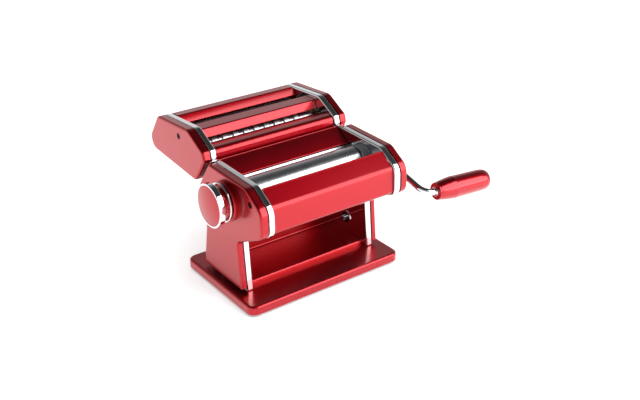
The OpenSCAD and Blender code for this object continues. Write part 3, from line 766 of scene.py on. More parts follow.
    def coil(self, name: str, x0: float, x1: float, radius: float, wire: float, at: Spot, slot: str) -> bpy.types.Object:
        """Wind a spring along X.

        Args:
            name: the piece's name.
            x0: where it starts.
            x1: where it ends.
            radius: the coil's radius.
            wire: the wire's radius.
            at: its axis in Y and Z.
            slot: the finish.

        Returns:
            The spring.
        """
        turns = 4.0

        def body(tree: bpy.types.NodeTree, source: bpy.types.Node) -> bpy.types.NodeSocket:
            """Sweep a wire along a spiral and lay it along X."""
            spiral = add_node(
                tree,
                "GeometryNodeCurveSpiral",
                {"Resolution": 32, "Rotations": turns},
                {
                    "Start Radius": source.outputs["Radius"],
                    "End Radius": source.outputs["Radius"],
                    "Height": source.outputs["Length"],
                },
            )
            section = add_node(
                tree, "GeometryNodeCurvePrimitiveCircle", {"Resolution": 10}, {"Radius": source.outputs["Wire"]}
            )
            swept = add_node(
                tree,
                "GeometryNodeCurveToMesh",
                {"Fill Caps": True},
                {"Curve": spiral.outputs["Curve"], "Profile Curve": section.outputs["Curve"]},
            )
            return add_node(
                tree,
                "GeometryNodeTransform",
                {"Rotation": (0.0, math.pi / 2, 0.0)},
                {"Geometry": swept.outputs["Mesh"], "Translation": source.outputs["Start"]},
            ).outputs["Geometry"]

        inputs = [
            ("Radius", "NodeSocketFloat"),
            ("Wire", "NodeSocketFloat"),
            ("Length", "NodeSocketFloat"),
            ("Start", "NodeSocketVector"),
        ]
        tree = self.tree("spring_coil", inputs, body)
        values = {
            "Radius": radius * MM,
            "Wire": wire * MM,
            "Length": (x1 - x0) * MM,
            "Start": (x0 * MM, at[0] * MM, at[1] * MM),
            "Material": PAINTS.get(slot),
        }
        return self.apply(shown(name, bpy.data.meshes.new(name)), tree, values)


REPEAT = Repeater()


# ---------------------------------------------------------------- the frame's own places


class Side(Enum):
    """The two ends of the machine along X."""

    LEFT = -1
    RIGHT = 1

    @property
    def word(self) -> str:
        """The side's word in node names."""
        return self.name.lower()


def corner_mm(node: str, which: int) -> Vector:
    """Give the lowest (0) or highest (1) corner of a CAD node in millimetres."""
    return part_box(node)[which] / MM


def axis_of(node: str) -> Spot:
    """Give the Y and Z of a round CAD node's axis, in millimetres."""
    middle = (corner_mm(node, 0) + corner_mm(node, 1)) / 2
    return (middle.y, middle.z)


@dataclass(frozen=True)
class Places:
    """Planes and axes read from the frame, in millimetres. X is measured from the centre."""

    plate: float
    flange: float
    flange_seat: float
    cover: float
    head: float
    leg: float
    base_top: float
    rear_axis: Spot
    front_axis: Spot
    wide_front: Spot
    wide_rear: Spot
    fine_front: Spot
    fine_rear: Spot


def read_places() -> Places:
    """Read the planes and axes that the pieces share."""
    return Places(
        plate=corner_mm("right_side_frame", 0).x,
        flange=corner_mm("right_side_frame", 1).x,
        flange_seat=corner_mm("cutter_right_frame", 1).x,
        cover=corner_mm("right_side_cover", 0).x,
        head=corner_mm("right_side_cover", 1).x,
        leg=corner_mm("clamp_ferrule", 1).x + 1.5,
        base_top=corner_mm("base_plate", 1).z,
        rear_axis=axis_of("rear_roller"),
        front_axis=axis_of("front_roller"),
        wide_front=axis_of("wide_front_roller"),
        wide_rear=axis_of("wide_rear_roller"),
        fine_front=axis_of("fine_front_roller"),
        fine_rear=axis_of("fine_rear_roller"),
    )


PLACES = read_places()


def dress(made: bpy.types.Object, body: str, slot: str, *nodes: str) -> bpy.types.Object:
    """Paint a piece, put it on its body and let it stand for CAD nodes.

    Args:
        made: the piece.
        body: the CAD body that it rides on.
        slot: the record's material slot.
        *nodes: the CAD nodes that it replaces.

    Returns:
        The piece.
    """
    made.data.materials.clear()
    made.data.materials.append(PAINTS.get(slot))
    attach(made, body)
    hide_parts(*nodes)
    LOG.info("%s: %d faces, on %s", made.name, len(made.data.polygons), body)
    return made


# ---------------------------------------------------------------- shared shapes of pressed parts


SLANT_FOOT: Spot = (44.5, 113.5)
SLANT_TOP: Spot = (22.6, 144.4)
SHEET = 1.2  # thickness of the folded sheets
SHEET_ROOM = 0.7  # clearance between a folded sheet's end and the side frame


def slant_up() -> Vector:
    """Give the direction up the slant at the back of the head, in Y and Z."""
    return (Vector(SLANT_TOP) - Vector(SLANT_FOOT)).normalized()


def slant_out() -> Vector:
    """Give the direction out of the slant, in Y and Z."""
    up = slant_up()
    return Vector((up.y, -up.x))


def cover_shell(
    name: str, outline: Outline, face: float, side: Side, wall: float = 1.5, round_r: float = 2.4
) -> bpy.types.Object:
    """Press a side cover: a deep tray with a round shoulder and an even wall.

    Args:
        name: the piece's name.
        outline: the cover's outline in Y and Z.
        face: X of its outer face.
        side: the end of the machine.
        wall: the wall's thickness.
        round_r: the shoulder's outer radius.

    Returns:
        The closed shell.
    """
    inner_r = round_r - wall
    outer = [(PLACES.cover, 0.0), (PLACES.cover + SUPPORT, 0.0), (face - round_r - SUPPORT, 0.0)]
    quarter = quarter_turn(8)
    outer += [(face - round_r + round_r * math.sin(a), round_r - round_r * math.cos(a)) for a in quarter]
    outer += [(face, round_r + SUPPORT)]
    inner = [(face - wall, round_r + SUPPORT)]
    inner += [(face - round_r + inner_r * math.sin(a), round_r - inner_r * math.cos(a)) for a in reversed(quarter)]
    inner += [(PLACES.cover, wall)]
    shape = Shape()
    rows = [[shape.ring(along_x(side.value * x, outline.ring(d))) for x, d in part] for part in (outer, inner)]
    for part in rows:
        for a, b in zip(part, part[1:]):
            shape.bridge(a, b)
    shape.bridge(rows[1][-1], rows[0][0])
    shape.faces += [tuple(rows[0][-1]), tuple(rows[1][0])]
    return shape.object(name)


def flanged_frame(name: str, outline: Outline, side: Side, thick: float = 1.2) -> bpy.types.Object:
    """Press a side frame: a plate whose edge folds outwards into a polished flange.

    Args:
        name: the piece's name.
        outline: the frame's outline in Y and Z.
        side: the end of the machine.
        thick: the sheet's thickness.

    Returns:
        The closed shell.
    """
    fold, lip = 1.9, thick / 2
    inner = fold - thick
    x0, x1 = PLACES.plate, PLACES.flange_seat
    quarter = quarter_turn(6)
    section = [(x0, fold + SUPPORT)]
    section += [(x0 + fold - fold * math.cos(a), fold - fold * math.sin(a)) for a in quarter]
    section += [(x0 + fold + SUPPORT, 0.0), (x1 - lip - SUPPORT, 0.0)]
    section += [(x1 - lip + lip * math.sin(a), lip - lip * math.cos(a)) for a in quarter]
    section += [(x1 - lip + lip * math.cos(a), lip + lip * math.sin(a)) for a in quarter[1:]]
    section += [(x0 + fold, thick)]
    section += [(x0 + fold - inner * math.sin(a), fold - inner * math.cos(a)) for a in quarter[1:]]
    section += [(x0 + thick, fold + SUPPORT)]
    shape = Shape()
    shape.loft([along_x(side.value * x, outline.ring(d)) for x, d in section])
    return shape.object(name)


def folded_sheet(
    name: str,
    path: Sequence[Spot],
    radii: Sequence[float],
    thickness: float = SHEET,
    steps: int = 8,
    room: float = SHEET_ROOM,
) -> bpy.types.Object:
    """Fold a sheet along a path and run it from one side frame to the other.

    Args:
        name: the piece's name.
        path: the corners of one face of the sheet, in Y and Z.
        radii: the bend radius at each inner corner.
        thickness: the sheet's thickness, positive to the left of the path.
        steps: pieces in each bend.
        room: clearance at each end.

    Returns:
        The folded sheet.
    """
    x = PLACES.plate - room
    return extruded(name, -x, x, sheet_ring(path, radii, thickness, steps))


def rod_tool(x0: float, x1: float, at: Spot, radius: float, sides: int = 64) -> bpy.types.Object:
    """Make a round cutting tool along X."""
    return turned("tool", [(x0, 0), (x0, radius), (x1, radius), (x1, 0)], [0, 0.02, 0.02, 0], at, sides=sides)


def screw(name: str, at: Spot, slot: str) -> bpy.types.Object:
    """Make the recessed cover screws of both ends, with a cross slot in each head.

    Args:
        name: the piece's name.
        at: the screws' place in Y and Z.
        slot: the finish.

    Returns:
        Both screws in one object.
    """
    top = PLACES.head - 0.6
    head = turned(
        name,
        [(PLACES.plate + 7, 0), (PLACES.plate + 7, 1.45), (top - 1.6, 1.45), (top - 1.6, 3.0), (top, 3.0), (top, 0)],
        [0, 0.3, 0.1, 0.25, 0.7, 0],
        at,
        sides=48,
    )
    reach, half, depth = 1.7, 0.35, 0.9
    tools = [
        block("tool", (top - depth, at[0] - reach, at[1] - half), (top + 1, at[0] + reach, at[1] + half)),
        block("tool", (top - depth, at[0] - half, at[1] - reach), (top + 1, at[0] + half, at[1] + reach)),
    ]
    cut(head, *tools)
    return REPEAT.both_ends(head, slot)


# ---------------------------------------------------------------- sub-assemblies


@dataclass
class Stand:
    """The base, the two legs with their heads, and the folded sheets between them."""

    outline: Outline = Outline(
        (
            (41.5, 12.9), (32, 68), SLANT_FOOT, SLANT_TOP, (-54.8, 143.4),
            (-81, 127.3), (-81.8, 97.6), (-30.9, 73.3), (-36.7, 12.9),
        ),
        (2, 30, 9, 5, 14, 16, 12, 8, 2),
    )
    split: float = 76.0
    cover_back_off: float = 5.0
    cover_lift: float = 5.1
    rim_r: float = 2.6
    base_corner: float = 9.6
    cover_screw: Spot = (-62.7, 129.3)
    clamp: Spot = (2.4, 35.6)
    clamp_r: float = 6.25

    @property
    def cover_outline(self) -> Outline:
        """The side covers' outline, which stands back from the slant where the cutter hangs."""
        corners = list(self.outline.corners)
        out = slant_out()
        for i, toward in ((2, 1), (3, 4)):
            p, q = Vector(corners[i]), Vector(corners[toward])
            u = (q - p).normalized()
            corners[i] = tuple(p - u * (self.cover_back_off / u.dot(out)))
        return Outline(tuple(corners), self.outline.radii)

    def build(self) -> None:
        """Build every piece of the stand."""
        self.base()
        self.feet()
        self.base_screws()
        for side in Side:
            self.frame(side)
            self.cover(side)
        self.front_cover()
        self.hopper()
        self.rear_panel()
        self.tray()
        self.ferrule()
        self.bosses()
        screws = screw("cross_slot_cover_screws", self.cover_screw, "black_oxide")
        dress(screws, "stand", "black_oxide", "cover_screws")

    def base(self) -> None:
        """Fold the base plate's rim down with a round edge and a small lip at the bottom."""
        low, high = corner_mm("base_plate", 0), corner_mm("base_plate", 1)
        outline = Outline(
            ((high.x, low.y), (high.x, high.y), (low.x, high.y), (low.x, low.y)), (self.base_corner,) * 4
        )
        r, t, lip = self.rim_r, SHEET, 0.6
        quarter = quarter_turn(8)
        section = [(high.z, r + SUPPORT)]
        section += [(high.z - r + r * math.cos(a), r - r * math.sin(a)) for a in quarter]
        section += [(high.z - r - SUPPORT, 0.0), (low.z + lip + SUPPORT, 0.0)]
        section += [(low.z + lip - lip * math.sin(a), lip - lip * math.cos(a)) for a in quarter]
        section += [(low.z + lip - lip * math.cos(a), lip + lip * math.sin(a)) for a in quarter[1:]]
        section += [(high.z - r, t)]
        section += [(high.z - r + (r - t) * math.sin(a), r - (r - t) * math.cos(a)) for a in quarter[1:]]
        section += [(high.z - t, r + SUPPORT)]
        shape = Shape()
        shape.loft([[Vector((p.x, p.y, z)) for p in outline.ring(d)] for z, d in section])
        dress(shape.object("folded_base_plate"), "stand", "red_enamel", "base_plate")

    def feet(self) -> None:
        """Mould one foot with a bevelled sole and a groove, and put it under each corner."""
        low, high = corner_mm("rubber_feet", 0), corner_mm("rubber_feet", 1)
        radius = 8.0
        lift = corner_mm("base_plate", 0).z
        profile = [
            (0, 0), (0, 5), (0.6, 5), (0.6, 6.2), (0, 6.2),
            (0, radius), (lift, radius), (lift, 6.8), (high.z, 6.8), (high.z, 0),
        ]
        foot = turned("moulded_feet", profile, [0, 0.2, 0.2, 0.2, 0.2, 0.8, 0.3, 0.2, 0.3, 0], (0, 0), sides=48)
        foot.data.transform(Matrix.Rotation(-math.pi / 2, 4, "Y"))
        half = (high.x - radius, high.y - radius)
        made = REPEAT.corners(foot, half, ((high.x + low.x) / 2, (high.y + low.y) / 2), "black_rubber")
        dress(made, "stand", "black_rubber", "rubber_feet")

    def base_screws(self) -> None:
        """Turn one round-headed screw with its hexagon nut, and put it at the foot of each leg."""
        low, high = corner_mm("base_screws", 0), corner_mm("base_screws", 1)
        under = PLACES.base_top - SHEET
        profile = [(low.z, 0), (low.z, 3), (under, 3), (under, 1.5), (high.z, 1.5), (high.z, 0)]
        shank = turned("leg_screws", profile, [0, 1.1, 0.1, 0.1, 0.3, 0], (0, 0), sides=40)
        shank.data.transform(Matrix.Rotation(-math.pi / 2, 4, "Y"))
        nut = Shape()
        top = PLACES.base_top + SHEET
        sixths = [math.pi / 3 * k for k in range(6)]
        levels = ((top, 2.3), (top + 0.2, 2.5), (top + 1.8, 2.5), (top + 2.0, 2.3))
        nut.loft([[Vector((r * math.cos(a), r * math.sin(a), z)) for a in sixths] for z, r in levels])
        both = joined("leg_screws_and_nuts", [shank, nut.object("nut")])
        half = (high.x - 3, (high.y - low.y) / 2 - 3)
        made = REPEAT.corners(both, half, (0, (high.y + low.y) / 2), "plain_steel")
        dress(made, "stand", "plain_steel", "base_screws")

    def frame(self, side: Side) -> None:
        """Press a side frame and drill the right one for the clamp's ferrule."""
        plate = flanged_frame("plate", self.outline, side)
        made = joined(f"pressed_{side.word}_side_frame", [plate, self.dock_rim(side)])
        if side is Side.RIGHT:
            cut(made, rod_tool(PLACES.plate - 3, PLACES.plate + 3, self.clamp, self.clamp_r + 0.9))
        dress(made, "stand", "chrome", f"{side.word}_side_frame")

    def dock_rim(self, side: Side) -> bpy.types.Object:
        """Widen the flange along the slant, where the cutter's frame bears on it."""
        out = slant_out()
        top = Vector(self.outline.corners[3])
        outer, inner = self.outline.ring(), self.outline.ring(1.2)
        near = [i for i, p in enumerate(outer) if (top - p).dot(out) < self.cover_back_off - 0.6 and p.y > 110]
        x0, x1 = PLACES.flange_seat - 0.7, PLACES.flange
        shape = Shape()
        rows = []
        for x in (x0, x1 - 0.3, x1):
            edge = 0.2 if x == x1 else 0.0
            ring = [outer[i] + (inner[i] - outer[i]) * edge for i in near]
            ring += [inner[i] + (outer[i] - inner[i]) * edge for i in reversed(near)]
            rows.append(along_x(side.value * x, ring))
        shape.loft(rows)
        return shape.object("rim")

    def cover(self, side: Side) -> None:
        """Press a side cover in two depths, a deep head above a shallower leg, and sink its screw."""
        s = side.value
        outline = self.cover_outline
        leg = cover_shell("leg", outline, PLACES.leg, side)
        low, high = (-400, -200), (400, 300)
        cut(
            leg,
            block("tool", (*low, self.split), (*high, 400)),
            block("tool", (*low, -50), (*high, PLACES.base_top + self.cover_lift)),
        )
        corners = outline.corners
        foot_back = self.crossing(corners[1], corners[2])
        foot_front = self.crossing(corners[6], corners[7])
        head_outline = Outline((foot_back, *corners[2:7], foot_front), (2.5, *outline.radii[2:7], 2.5))
        head = cover_shell("head", head_outline, PLACES.head, side)
        made = joined(f"pressed_{side.word}_side_cover", [leg, head])
        holes = [self.sink(side, self.cover_screw)]
        if side is Side.RIGHT:
            holes.append(rod_tool(PLACES.head - 4, PLACES.head + 2, PLACES.rear_axis, 8.6))
        else:
            holes.append(rod_tool(s * PLACES.head - 2, s * PLACES.head + 4, PLACES.front_axis, 5.0))
        cut(made, *holes)
        dress(made, "stand", "red_enamel", f"{side.word}_side_cover")

    def crossing(self, a: Spot, b: Spot) -> Spot:
        """Find where an edge of the outline crosses the line between leg and head."""
        t = (self.split - a[1]) / (b[1] - a[1])
        return (a[0] + t * (b[0] - a[0]), self.split)

    @staticmethod
    def sink(side: Side, at: Spot) -> bpy.types.Object:
        """Make the tool for a screw's recess in a cover's face."""
        x = side.value * PLACES.head
        return rod_tool(x - 2.4, x + 2.4, at, 3.4)

    def front_cover(self) -> None:
        """Fold the front cover: a rolled rear edge, a slope, a soft crease, an upright face and a curl."""
        path = [(-57.6, 136.4), (-54.4, 141.6), (-58.6, 140.0), (-76.6, 126.4), (-78.2, 98.2), (-67.6, 92.4)]
        made = folded_sheet("folded_front_cover", path, [1.6, 2.4, 7.0, 5.0])
        dress(made, "stand", "red_enamel", "front_cover")

    def hopper(self) -> None:
        """Fold the hopper plate, with a hem along its lower edge."""
        path = [(20.4, 142.9), (1.2, 129.6), (2.0, 127.9)]
        dress(folded_sheet("hemmed_hopper_plate", path, [0.9]), "stand", "red_enamel", "hopper_plate")

    def rear_panel(self) -> None:
        """Fold the panel behind the rollers, from the head's slanted back down to the tray."""
        low, high = corner_mm("rear_panel", 0), corner_mm("rear_panel", 1)
        up = slant_up()
        inner = Vector(SLANT_TOP) - 2.0 * slant_out()
        points = [inner + up * ((z - inner.y) / up.y) for z in (high.z - 0.6, 112.0)]
        path = [tuple(points[0]), tuple(points[1]), (31.2, 76.0), (28.6, low.z)]
        dress(folded_sheet("folded_rear_panel", path, [3.0, 3.0]), "stand", "red_enamel", "rear_panel")

    def tray(self) -> None:
        """Fold the tray between the legs: back wall, floor and front lip."""
        floor = PLACES.base_top + 5.7
        path = [(27.0, 73.3), (30.0, floor), (-28.0, floor), (-28.6, PLACES.base_top + 0.1)]
        made = folded_sheet("folded_stand_tray", path, [1.6, 2.0], room=0.2)
        dress(made, "stand", "red_enamel", "stand_tray")

    def ferrule(self) -> None:
        """Turn the clamp's ferrule with a rolled lip inside the right leg."""
        x0, x1, r = corner_mm("clamp_ferrule", 0).x, corner_mm("clamp_ferrule", 1).x, self.clamp_r
        profile = [
            (x0, r), (x0, r + 2), (x0 + 0.95, r + 2), (x0 + 0.95, r + 0.9),
            (x1, r + 0.9), (x1, 0), (x1 - 0.8, 0), (x1 - 0.8, r),
        ]
        made = turned("rolled_clamp_ferrule", profile, [0.4, 0.45, 0.2, 0.1, 0.3, 0, 0, 0.3], self.clamp, sides=72)
        self.close_bore(made)
        dress(made, "stand", "chrome", "clamp_ferrule")

    @staticmethod
    def close_bore(made: bpy.types.Object) -> None:
        """Close the mouth of a blind bore whose open profile starts and ends on the wall."""
        work = bmesh.new()
        work.from_mesh(made.data)
        rims = [e for e in work.edges if e.is_boundary]
        if rims:
            bmesh.ops.bridge_loops(work, edges=rims)
        bmesh.ops.recalc_face_normals(work, faces=work.faces)
        work.to_mesh(made.data)
        work.free()
        smooth(made.data)

    def bosses(self) -> None:
        """Turn the boss behind the knob and the bezel round the crank's socket."""
        x0, x1 = -corner_mm("knob_boss", 1).x, -corner_mm("knob_boss", 0).x
        profile = [(x0, 5), (x1, 5), (x1, 22), (x0, 22)]
        boss = turned("turned_knob_boss", profile, [0.2, 0.2, 1.6, 0.2], PLACES.front_axis, ring=True, mirror=True)
        dress(boss, "stand", "red_enamel", "knob_boss")
        x0, x1 = corner_mm("crank_bezel", 0).x, corner_mm("crank_bezel", 1).x
        profile = [(x0, 8.6), (x1, 8.6), (x1, 11.4), (x0, 11.4)]
        bezel = turned("turned_crank_bezel", profile, [0.2, 0.4, 0.9, 0.2], PLACES.rear_axis, ring=True)
        dress(bezel, "stand", "chrome", "crank_bezel")


@dataclass
class Rollers:
    """The two smooth rollers and the socket that the crank drives."""

    end: float = 70.0
    chamfer: float = 0.7

    def build(self) -> None:
        """Build both rollers and the socket."""
        self.rear()
        self.front()
        self.socket()

    def rear(self) -> None:
        """Turn the solid rear roller with its journals."""
        high = corner_mm("rear_roller", 1)
        r, j, x1 = high.z - PLACES.rear_axis[1], 8.0, high.x
        half = [(self.end, r), (self.end, j), (x1, j), (x1, 0)]
        profile = [(-x, q) for x, q in reversed(half)] + half
        rounds = [0, 0.4, 0.2, self.chamfer, self.chamfer, 0.2, 0.4, 0]
        made = turned("turned_rear_roller", profile, rounds, PLACES.rear_axis, sides=128)
        dress(made, "drive_train", "roller_steel", "rear_roller")

    def front(self) -> None:
        """Turn the hollow front roller with its journals."""
        high = corner_mm("front_roller", 1)
        r, j, bore, x1 = high.z - PLACES.front_axis[1], 10.6, 8.2, high.x
        half = [(self.end, r), (self.end, j), (x1, j), (x1, bore)]
        profile = [(-x, q) for x, q in reversed(half)] + half
        rounds = [0.4, 0.4, 0.2, self.chamfer, self.chamfer, 0.2, 0.4, 0.4]
        made = turned("turned_front_roller", profile, rounds, PLACES.front_axis, ring=True, sides=128)
        dress(made, "front_roller_set", "roller_steel", "front_roller")

    def socket(self) -> None:
        """Turn the keyed socket at the end of the rear roller."""
        low, high = corner_mm("drive_socket", 0), corner_mm("drive_socket", 1)
        made = keyed_socket("keyed_drive_socket", PLACES.rear_axis, low.x, high.x, 8.0)
        dress(made, "drive_train", "plain_steel", "drive_socket")


def keyed_socket(name: str, at: Spot, x0: float, x1: float, radius: float) -> bpy.types.Object:
    """Turn a blind socket along X and cut the slot that takes the crank's flats.

    Args:
        name: the piece's name.
        at: its axis in Y and Z.
        x0: its inner end.
        x1: its mouth.
        radius: its outer radius.

    Returns:
        The socket.
    """
    bore, depth, half_w, half_t = 3.83, 12.0, 5.2, 1.3
    profile = [(x0, 0), (x0, radius), (x1, radius), (x1, bore), (x1 - depth, bore), (x1 - depth, 0)]
    made = turned(name, profile, [0, 0.2, 0.5, 0.4, 0.2, 0], at, sides=72)
    slot = block("tool", (x1 - 10, at[0] - half_w, at[1] - half_t), (x1 + 1, at[0] + half_w, at[1] + half_t))
    return cut(made, slot)


@dataclass
class Crank:
    """The bent rod and its turning grip, laid out in the plane of X and the arm."""

    rod_r: float = 3.75
    bend_r: float = 16.0
    throw: float = 100.0
    splay: float = math.radians(6)
    drop: float = math.radians(20)
    lean: float = math.radians(5)
    grip_r: float = 13.2
    grip_len: float = 74.0
    grip_profile: tuple[Spot, ...] = (
        (0.1, 0.855), (0.22, 0.95), (0.31, 1.0), (0.345, 0.988), (0.6, 0.975),
        (0.82, 0.96), (0.9, 0.93), (0.955, 0.85), (0.985, 0.71), (1.0, 0.48),
    )

    def build(self) -> None:
        """Build the rod, the grip and its end ring."""
        self.rod()
        self.grip()

    def at(self, x: float, out: float, across: float = 0.0) -> Vector:
        """Place a point that is out from the roller's axis along the arm, and across the arm's plane."""
        y = PLACES.rear_axis[0] - out * math.cos(self.drop) + across * math.sin(self.drop)
        z = PLACES.rear_axis[1] - out * math.sin(self.drop) - across * math.cos(self.drop)
        return Vector((x, y, z))

    @property
    def elbow(self) -> Vector:
        """Where the lines of the stub and the arm meet."""
        return Vector((corner_mm("drive_socket", 1).x + 16.6, 0))

    @property
    def knee(self) -> Vector:
        """Where the lines of the arm and the grip meet."""
        return self.elbow + Vector((self.throw * math.tan(self.splay), self.throw))

    @property
    def grip_start(self) -> float:
        """The grip's inner end, measured from the knee along the grip."""
        return self.bend_r * math.tan((math.pi / 2 - self.splay - self.lean) / 2) + 0.6

    def on_grip_axis(self, made: bpy.types.Object) -> bpy.types.Object:
        """Move a piece turned about the X axis, with X measured from the knee, onto the grip's axis."""
        along = self.at(self.knee.x + math.cos(self.lean), self.throw + math.sin(self.lean)) - self.at(*self.knee)
        turn = Vector((1, 0, 0)).rotation_difference(along).to_matrix().to_4x4()
        made.data.transform(Matrix.Translation(self.at(*self.knee) * MM) @ turn)
        return made

    def rod(self) -> None:
        """Bend the rod and add the flats at its stub and the collar that the grip runs against."""
        low = corner_mm("crank_rod", 0)
        along = Vector((math.cos(self.lean), math.sin(self.lean)))
        end = self.knee + along * (self.grip_start + self.grip_len - 9)
        corners = [Vector((low.x, 0)), self.elbow, self.knee, end]
        spine = rounded(corners, [0, self.bend_r, self.bend_r, 0], False, 20)
        spine[0:1] = [spine[0], spine[0] + Vector((0.8, 0))]
        sides = 40
        shape = Shape()
        rows = []
        for i, p in enumerate(spine):
            ahead = (spine[min(i + 1, len(spine) - 1)] - spine[max(i - 1, 0)]).normalized()
            flat = Vector((-ahead.y, ahead.x))
            radius = self.rod_r - (0.7 if i in (0, len(spine) - 1) else 0.0)
            row = []
            for k in range(sides):
                a = 2 * math.pi * k / sides
                q = p + flat * (radius * math.cos(a))
                row.append(self.at(q.x, q.y, radius * math.sin(a)))
            rows.append(row)
        shape.loft(rows)
        rod = shape.object("rod")
        mouth = corner_mm("drive_socket", 1).x
        axis = PLACES.rear_axis
        key = block("key", (mouth - 9.5, axis[0] - 5, axis[1] - 1.1), (mouth - 2.5, axis[0] + 5, axis[1] + 1.1))
        r, g = self.rod_r, self.grip_start
        profile = [(g - 1.2, r - 0.4), (g - 1.2, r + 1.6), (g - 0.2, r + 1.6), (g - 0.2, r - 0.4)]
        collar = self.on_grip_axis(turned("collar", profile, [0.1, 0.3, 0.3, 0.1], (0, 0), ring=True, sides=48))
        dress(joined("bent_crank_rod", [rod, key, collar]), "crank", "chrome", "crank_rod")

    def grip(self) -> None:
        """Turn the grip, full at a third of its length, and the dark ring at its inner end."""
        x0, length, r, bore = self.grip_start, self.grip_len, self.grip_r, self.rod_r + 0.08
        start = 0.775 * r
        outside = [(x0 + t * length, q * r) for t, q in self.grip_profile]
        profile = [(x0 + length - 8, 0), (x0 + length - 8, bore), (x0 + 2, bore), (x0 + 2, start), *outside]
        profile += [(x0 + length, 0)]
        rounds = [0, 0.3, 0.3, 0.6, 3.0, 6.0, 1.5, 1.5, 20.0, 10.0, 6.0, 4.0, 2.5, 0.5, 0]
        made = turned("turned_crank_grip", profile, rounds, (0, 0), sides=128)
        dress(self.on_grip_axis(made), "grip", "grip_lacquer", "crank_grip")
        profile = [(x0, bore), (x0, start - 0.2), (x0 + 2, start - 0.2), (x0 + 2, bore)]
        ring = turned("turned_grip_ring", profile, [0.5, 0.6, 0.2, 0.2], (0, 0), ring=True, sides=96)
        dress(self.on_grip_axis(ring), "grip", "grip_lacquer", "grip_ring")


@dataclass
class Knob:
    """The gap knob on the left: a red cap in a chromed band, a waist and a second flange."""

    band_r: float = 23.6
    cap_r: float = 21.6
    waist_r: float = 17.0
    flange_r: float = 21.2
    bore: float = 4.05
    spring_bore: float = 7.6

    def build(self) -> None:
        """Build the knob's pieces and its spring. X is measured outwards from the centre."""
        crown = -corner_mm("knob_cap", 0).x
        seat = -corner_mm("knob_cap", 1).x
        face = seat + 1.8
        band0, flange0 = face - 7.0, -corner_mm("knob_ring", 1).x
        flange1 = flange0 + 2.6
        axis = PLACES.front_axis
        profile = [(band0, self.cap_r), (band0, self.band_r), (face - 0.4, self.band_r), (face - 0.4, self.cap_r)]
        band = turned("band", profile, [0.2, 1.1, 0.8, 0.2], axis, ring=True, sides=128, mirror=True)
        bore, rim = self.spring_bore, self.flange_r
        profile = [(flange0, bore), (flange0, rim), (flange1, rim), (flange1, bore)]
        flange = turned("flange", profile, [0.3, 1.0, 1.0, 0.3], axis, ring=True, sides=128, mirror=True)
        dress(joined("chromed_knob_rings", [band, flange]), "gap_knob", "chrome", "knob_ring")
        profile = [
            (flange1, self.spring_bore), (flange1, self.waist_r), (band0, self.waist_r), (band0, self.cap_r),
            (seat, self.cap_r), (seat, self.bore), (band0, self.bore), (band0, self.spring_bore),
        ]
        hub = turned("turned_knob_hub", profile, [0.3, 0.4, 1.2, 0.2, 0.2, 0.2, 0.2, 0.2], axis, ring=True, mirror=True)
        dress(hub, "gap_knob", "red_enamel", "knob_hub")
        r = self.cap_r
        profile = [(seat, 0), (seat, r), (face - 0.6, r)]
        brim = face - 0.6
        shares = (0.97, 0.9, 0.8, 0.65, 0.5, 0.35, 0.2)
        profile += [(brim + (crown - face + 0.6) * (1 - t * t), r * t) for t in shares]
        profile += [(crown, 0)]
        rounds = [0, 0.2, 0.1, 0.3, 0.5, 1.0, 2.0, 2.0, 2.0, 2.0, 0]
        cap = turned("crowned_knob_cap", profile, rounds, axis, sides=128, mirror=True)
        dress(cap, "gap_knob", "red_enamel", "knob_cap")
        low, high = corner_mm("knob_spring", 0), corner_mm("knob_spring", 1)
        spring = REPEAT.coil("wound_knob_spring", low.x + 0.6, high.x - 0.6, 6.2, 0.6, axis, "plain_steel")
        dress(spring, "gap_shaft", "plain_steel", "knob_spring")


@dataclass
class CutRoller:
    """One cutting roller: a core with journals, and a row of lands."""

    node: str
    body: str
    axis: Spot
    strip: float
    first: float
    socket: bool
    end: float = 70.0
    land_r: float = 9.6
    core_r: float = 8.0
    journal_r: float = 5.0
    land_gap: float = 0.15

    def build(self) -> None:
        """Turn the core, repeat one land along it, and add the socket where there is one."""
        low, high = corner_mm(self.node, 0), corner_mm(self.node, 1)
        x1 = high.x - (12.8 if self.socket else 0.0)
        profile = [
            (low.x, 0), (low.x, self.journal_r), (-self.end, self.journal_r), (-self.end, self.core_r),
            (self.end, self.core_r), (self.end, self.journal_r), (x1, self.journal_r), (x1, 0),
        ]
        core = turned("core", profile, [0, 0.4, 0.1, 0.3, 0.3, 0.1, 0.4, 0], self.axis, sides=64)
        count = math.floor((2 * self.end - self.strip) / (2 * self.strip))
        x = -self.end + self.first + self.land_gap
        width = self.strip - 2 * self.land_gap
        edge = min(0.25, width / 6)
        sides = 72 if self.strip > 3 else 48
        root = self.core_r - 0.2
        shape = Shape()
        ring = [
            (x, root), (x, self.land_r - edge), (x + edge, self.land_r),
            (x + width - edge, self.land_r), (x + width, self.land_r - edge), (x + width, root),
        ]
        rows = []
        for px, r in ring:
            spokes = [2 * math.pi * k / sides for k in range(sides)]
            rows.append([Vector((px, self.axis[0] + r * math.cos(a), self.axis[1] + r * math.sin(a))) for a in spokes])
        shape.loft(rows, loop=True)
        lands = REPEAT.row(shape.object("lands"), count, 2 * self.strip, "roller_steel")
        parts = [core, lands]
        if self.socket:
            parts.append(keyed_socket("socket", self.axis, x1, high.x, 6.4))
        made = joined("grooved_" + self.node, parts)
        dress(made, self.body, "roller_steel", self.node)


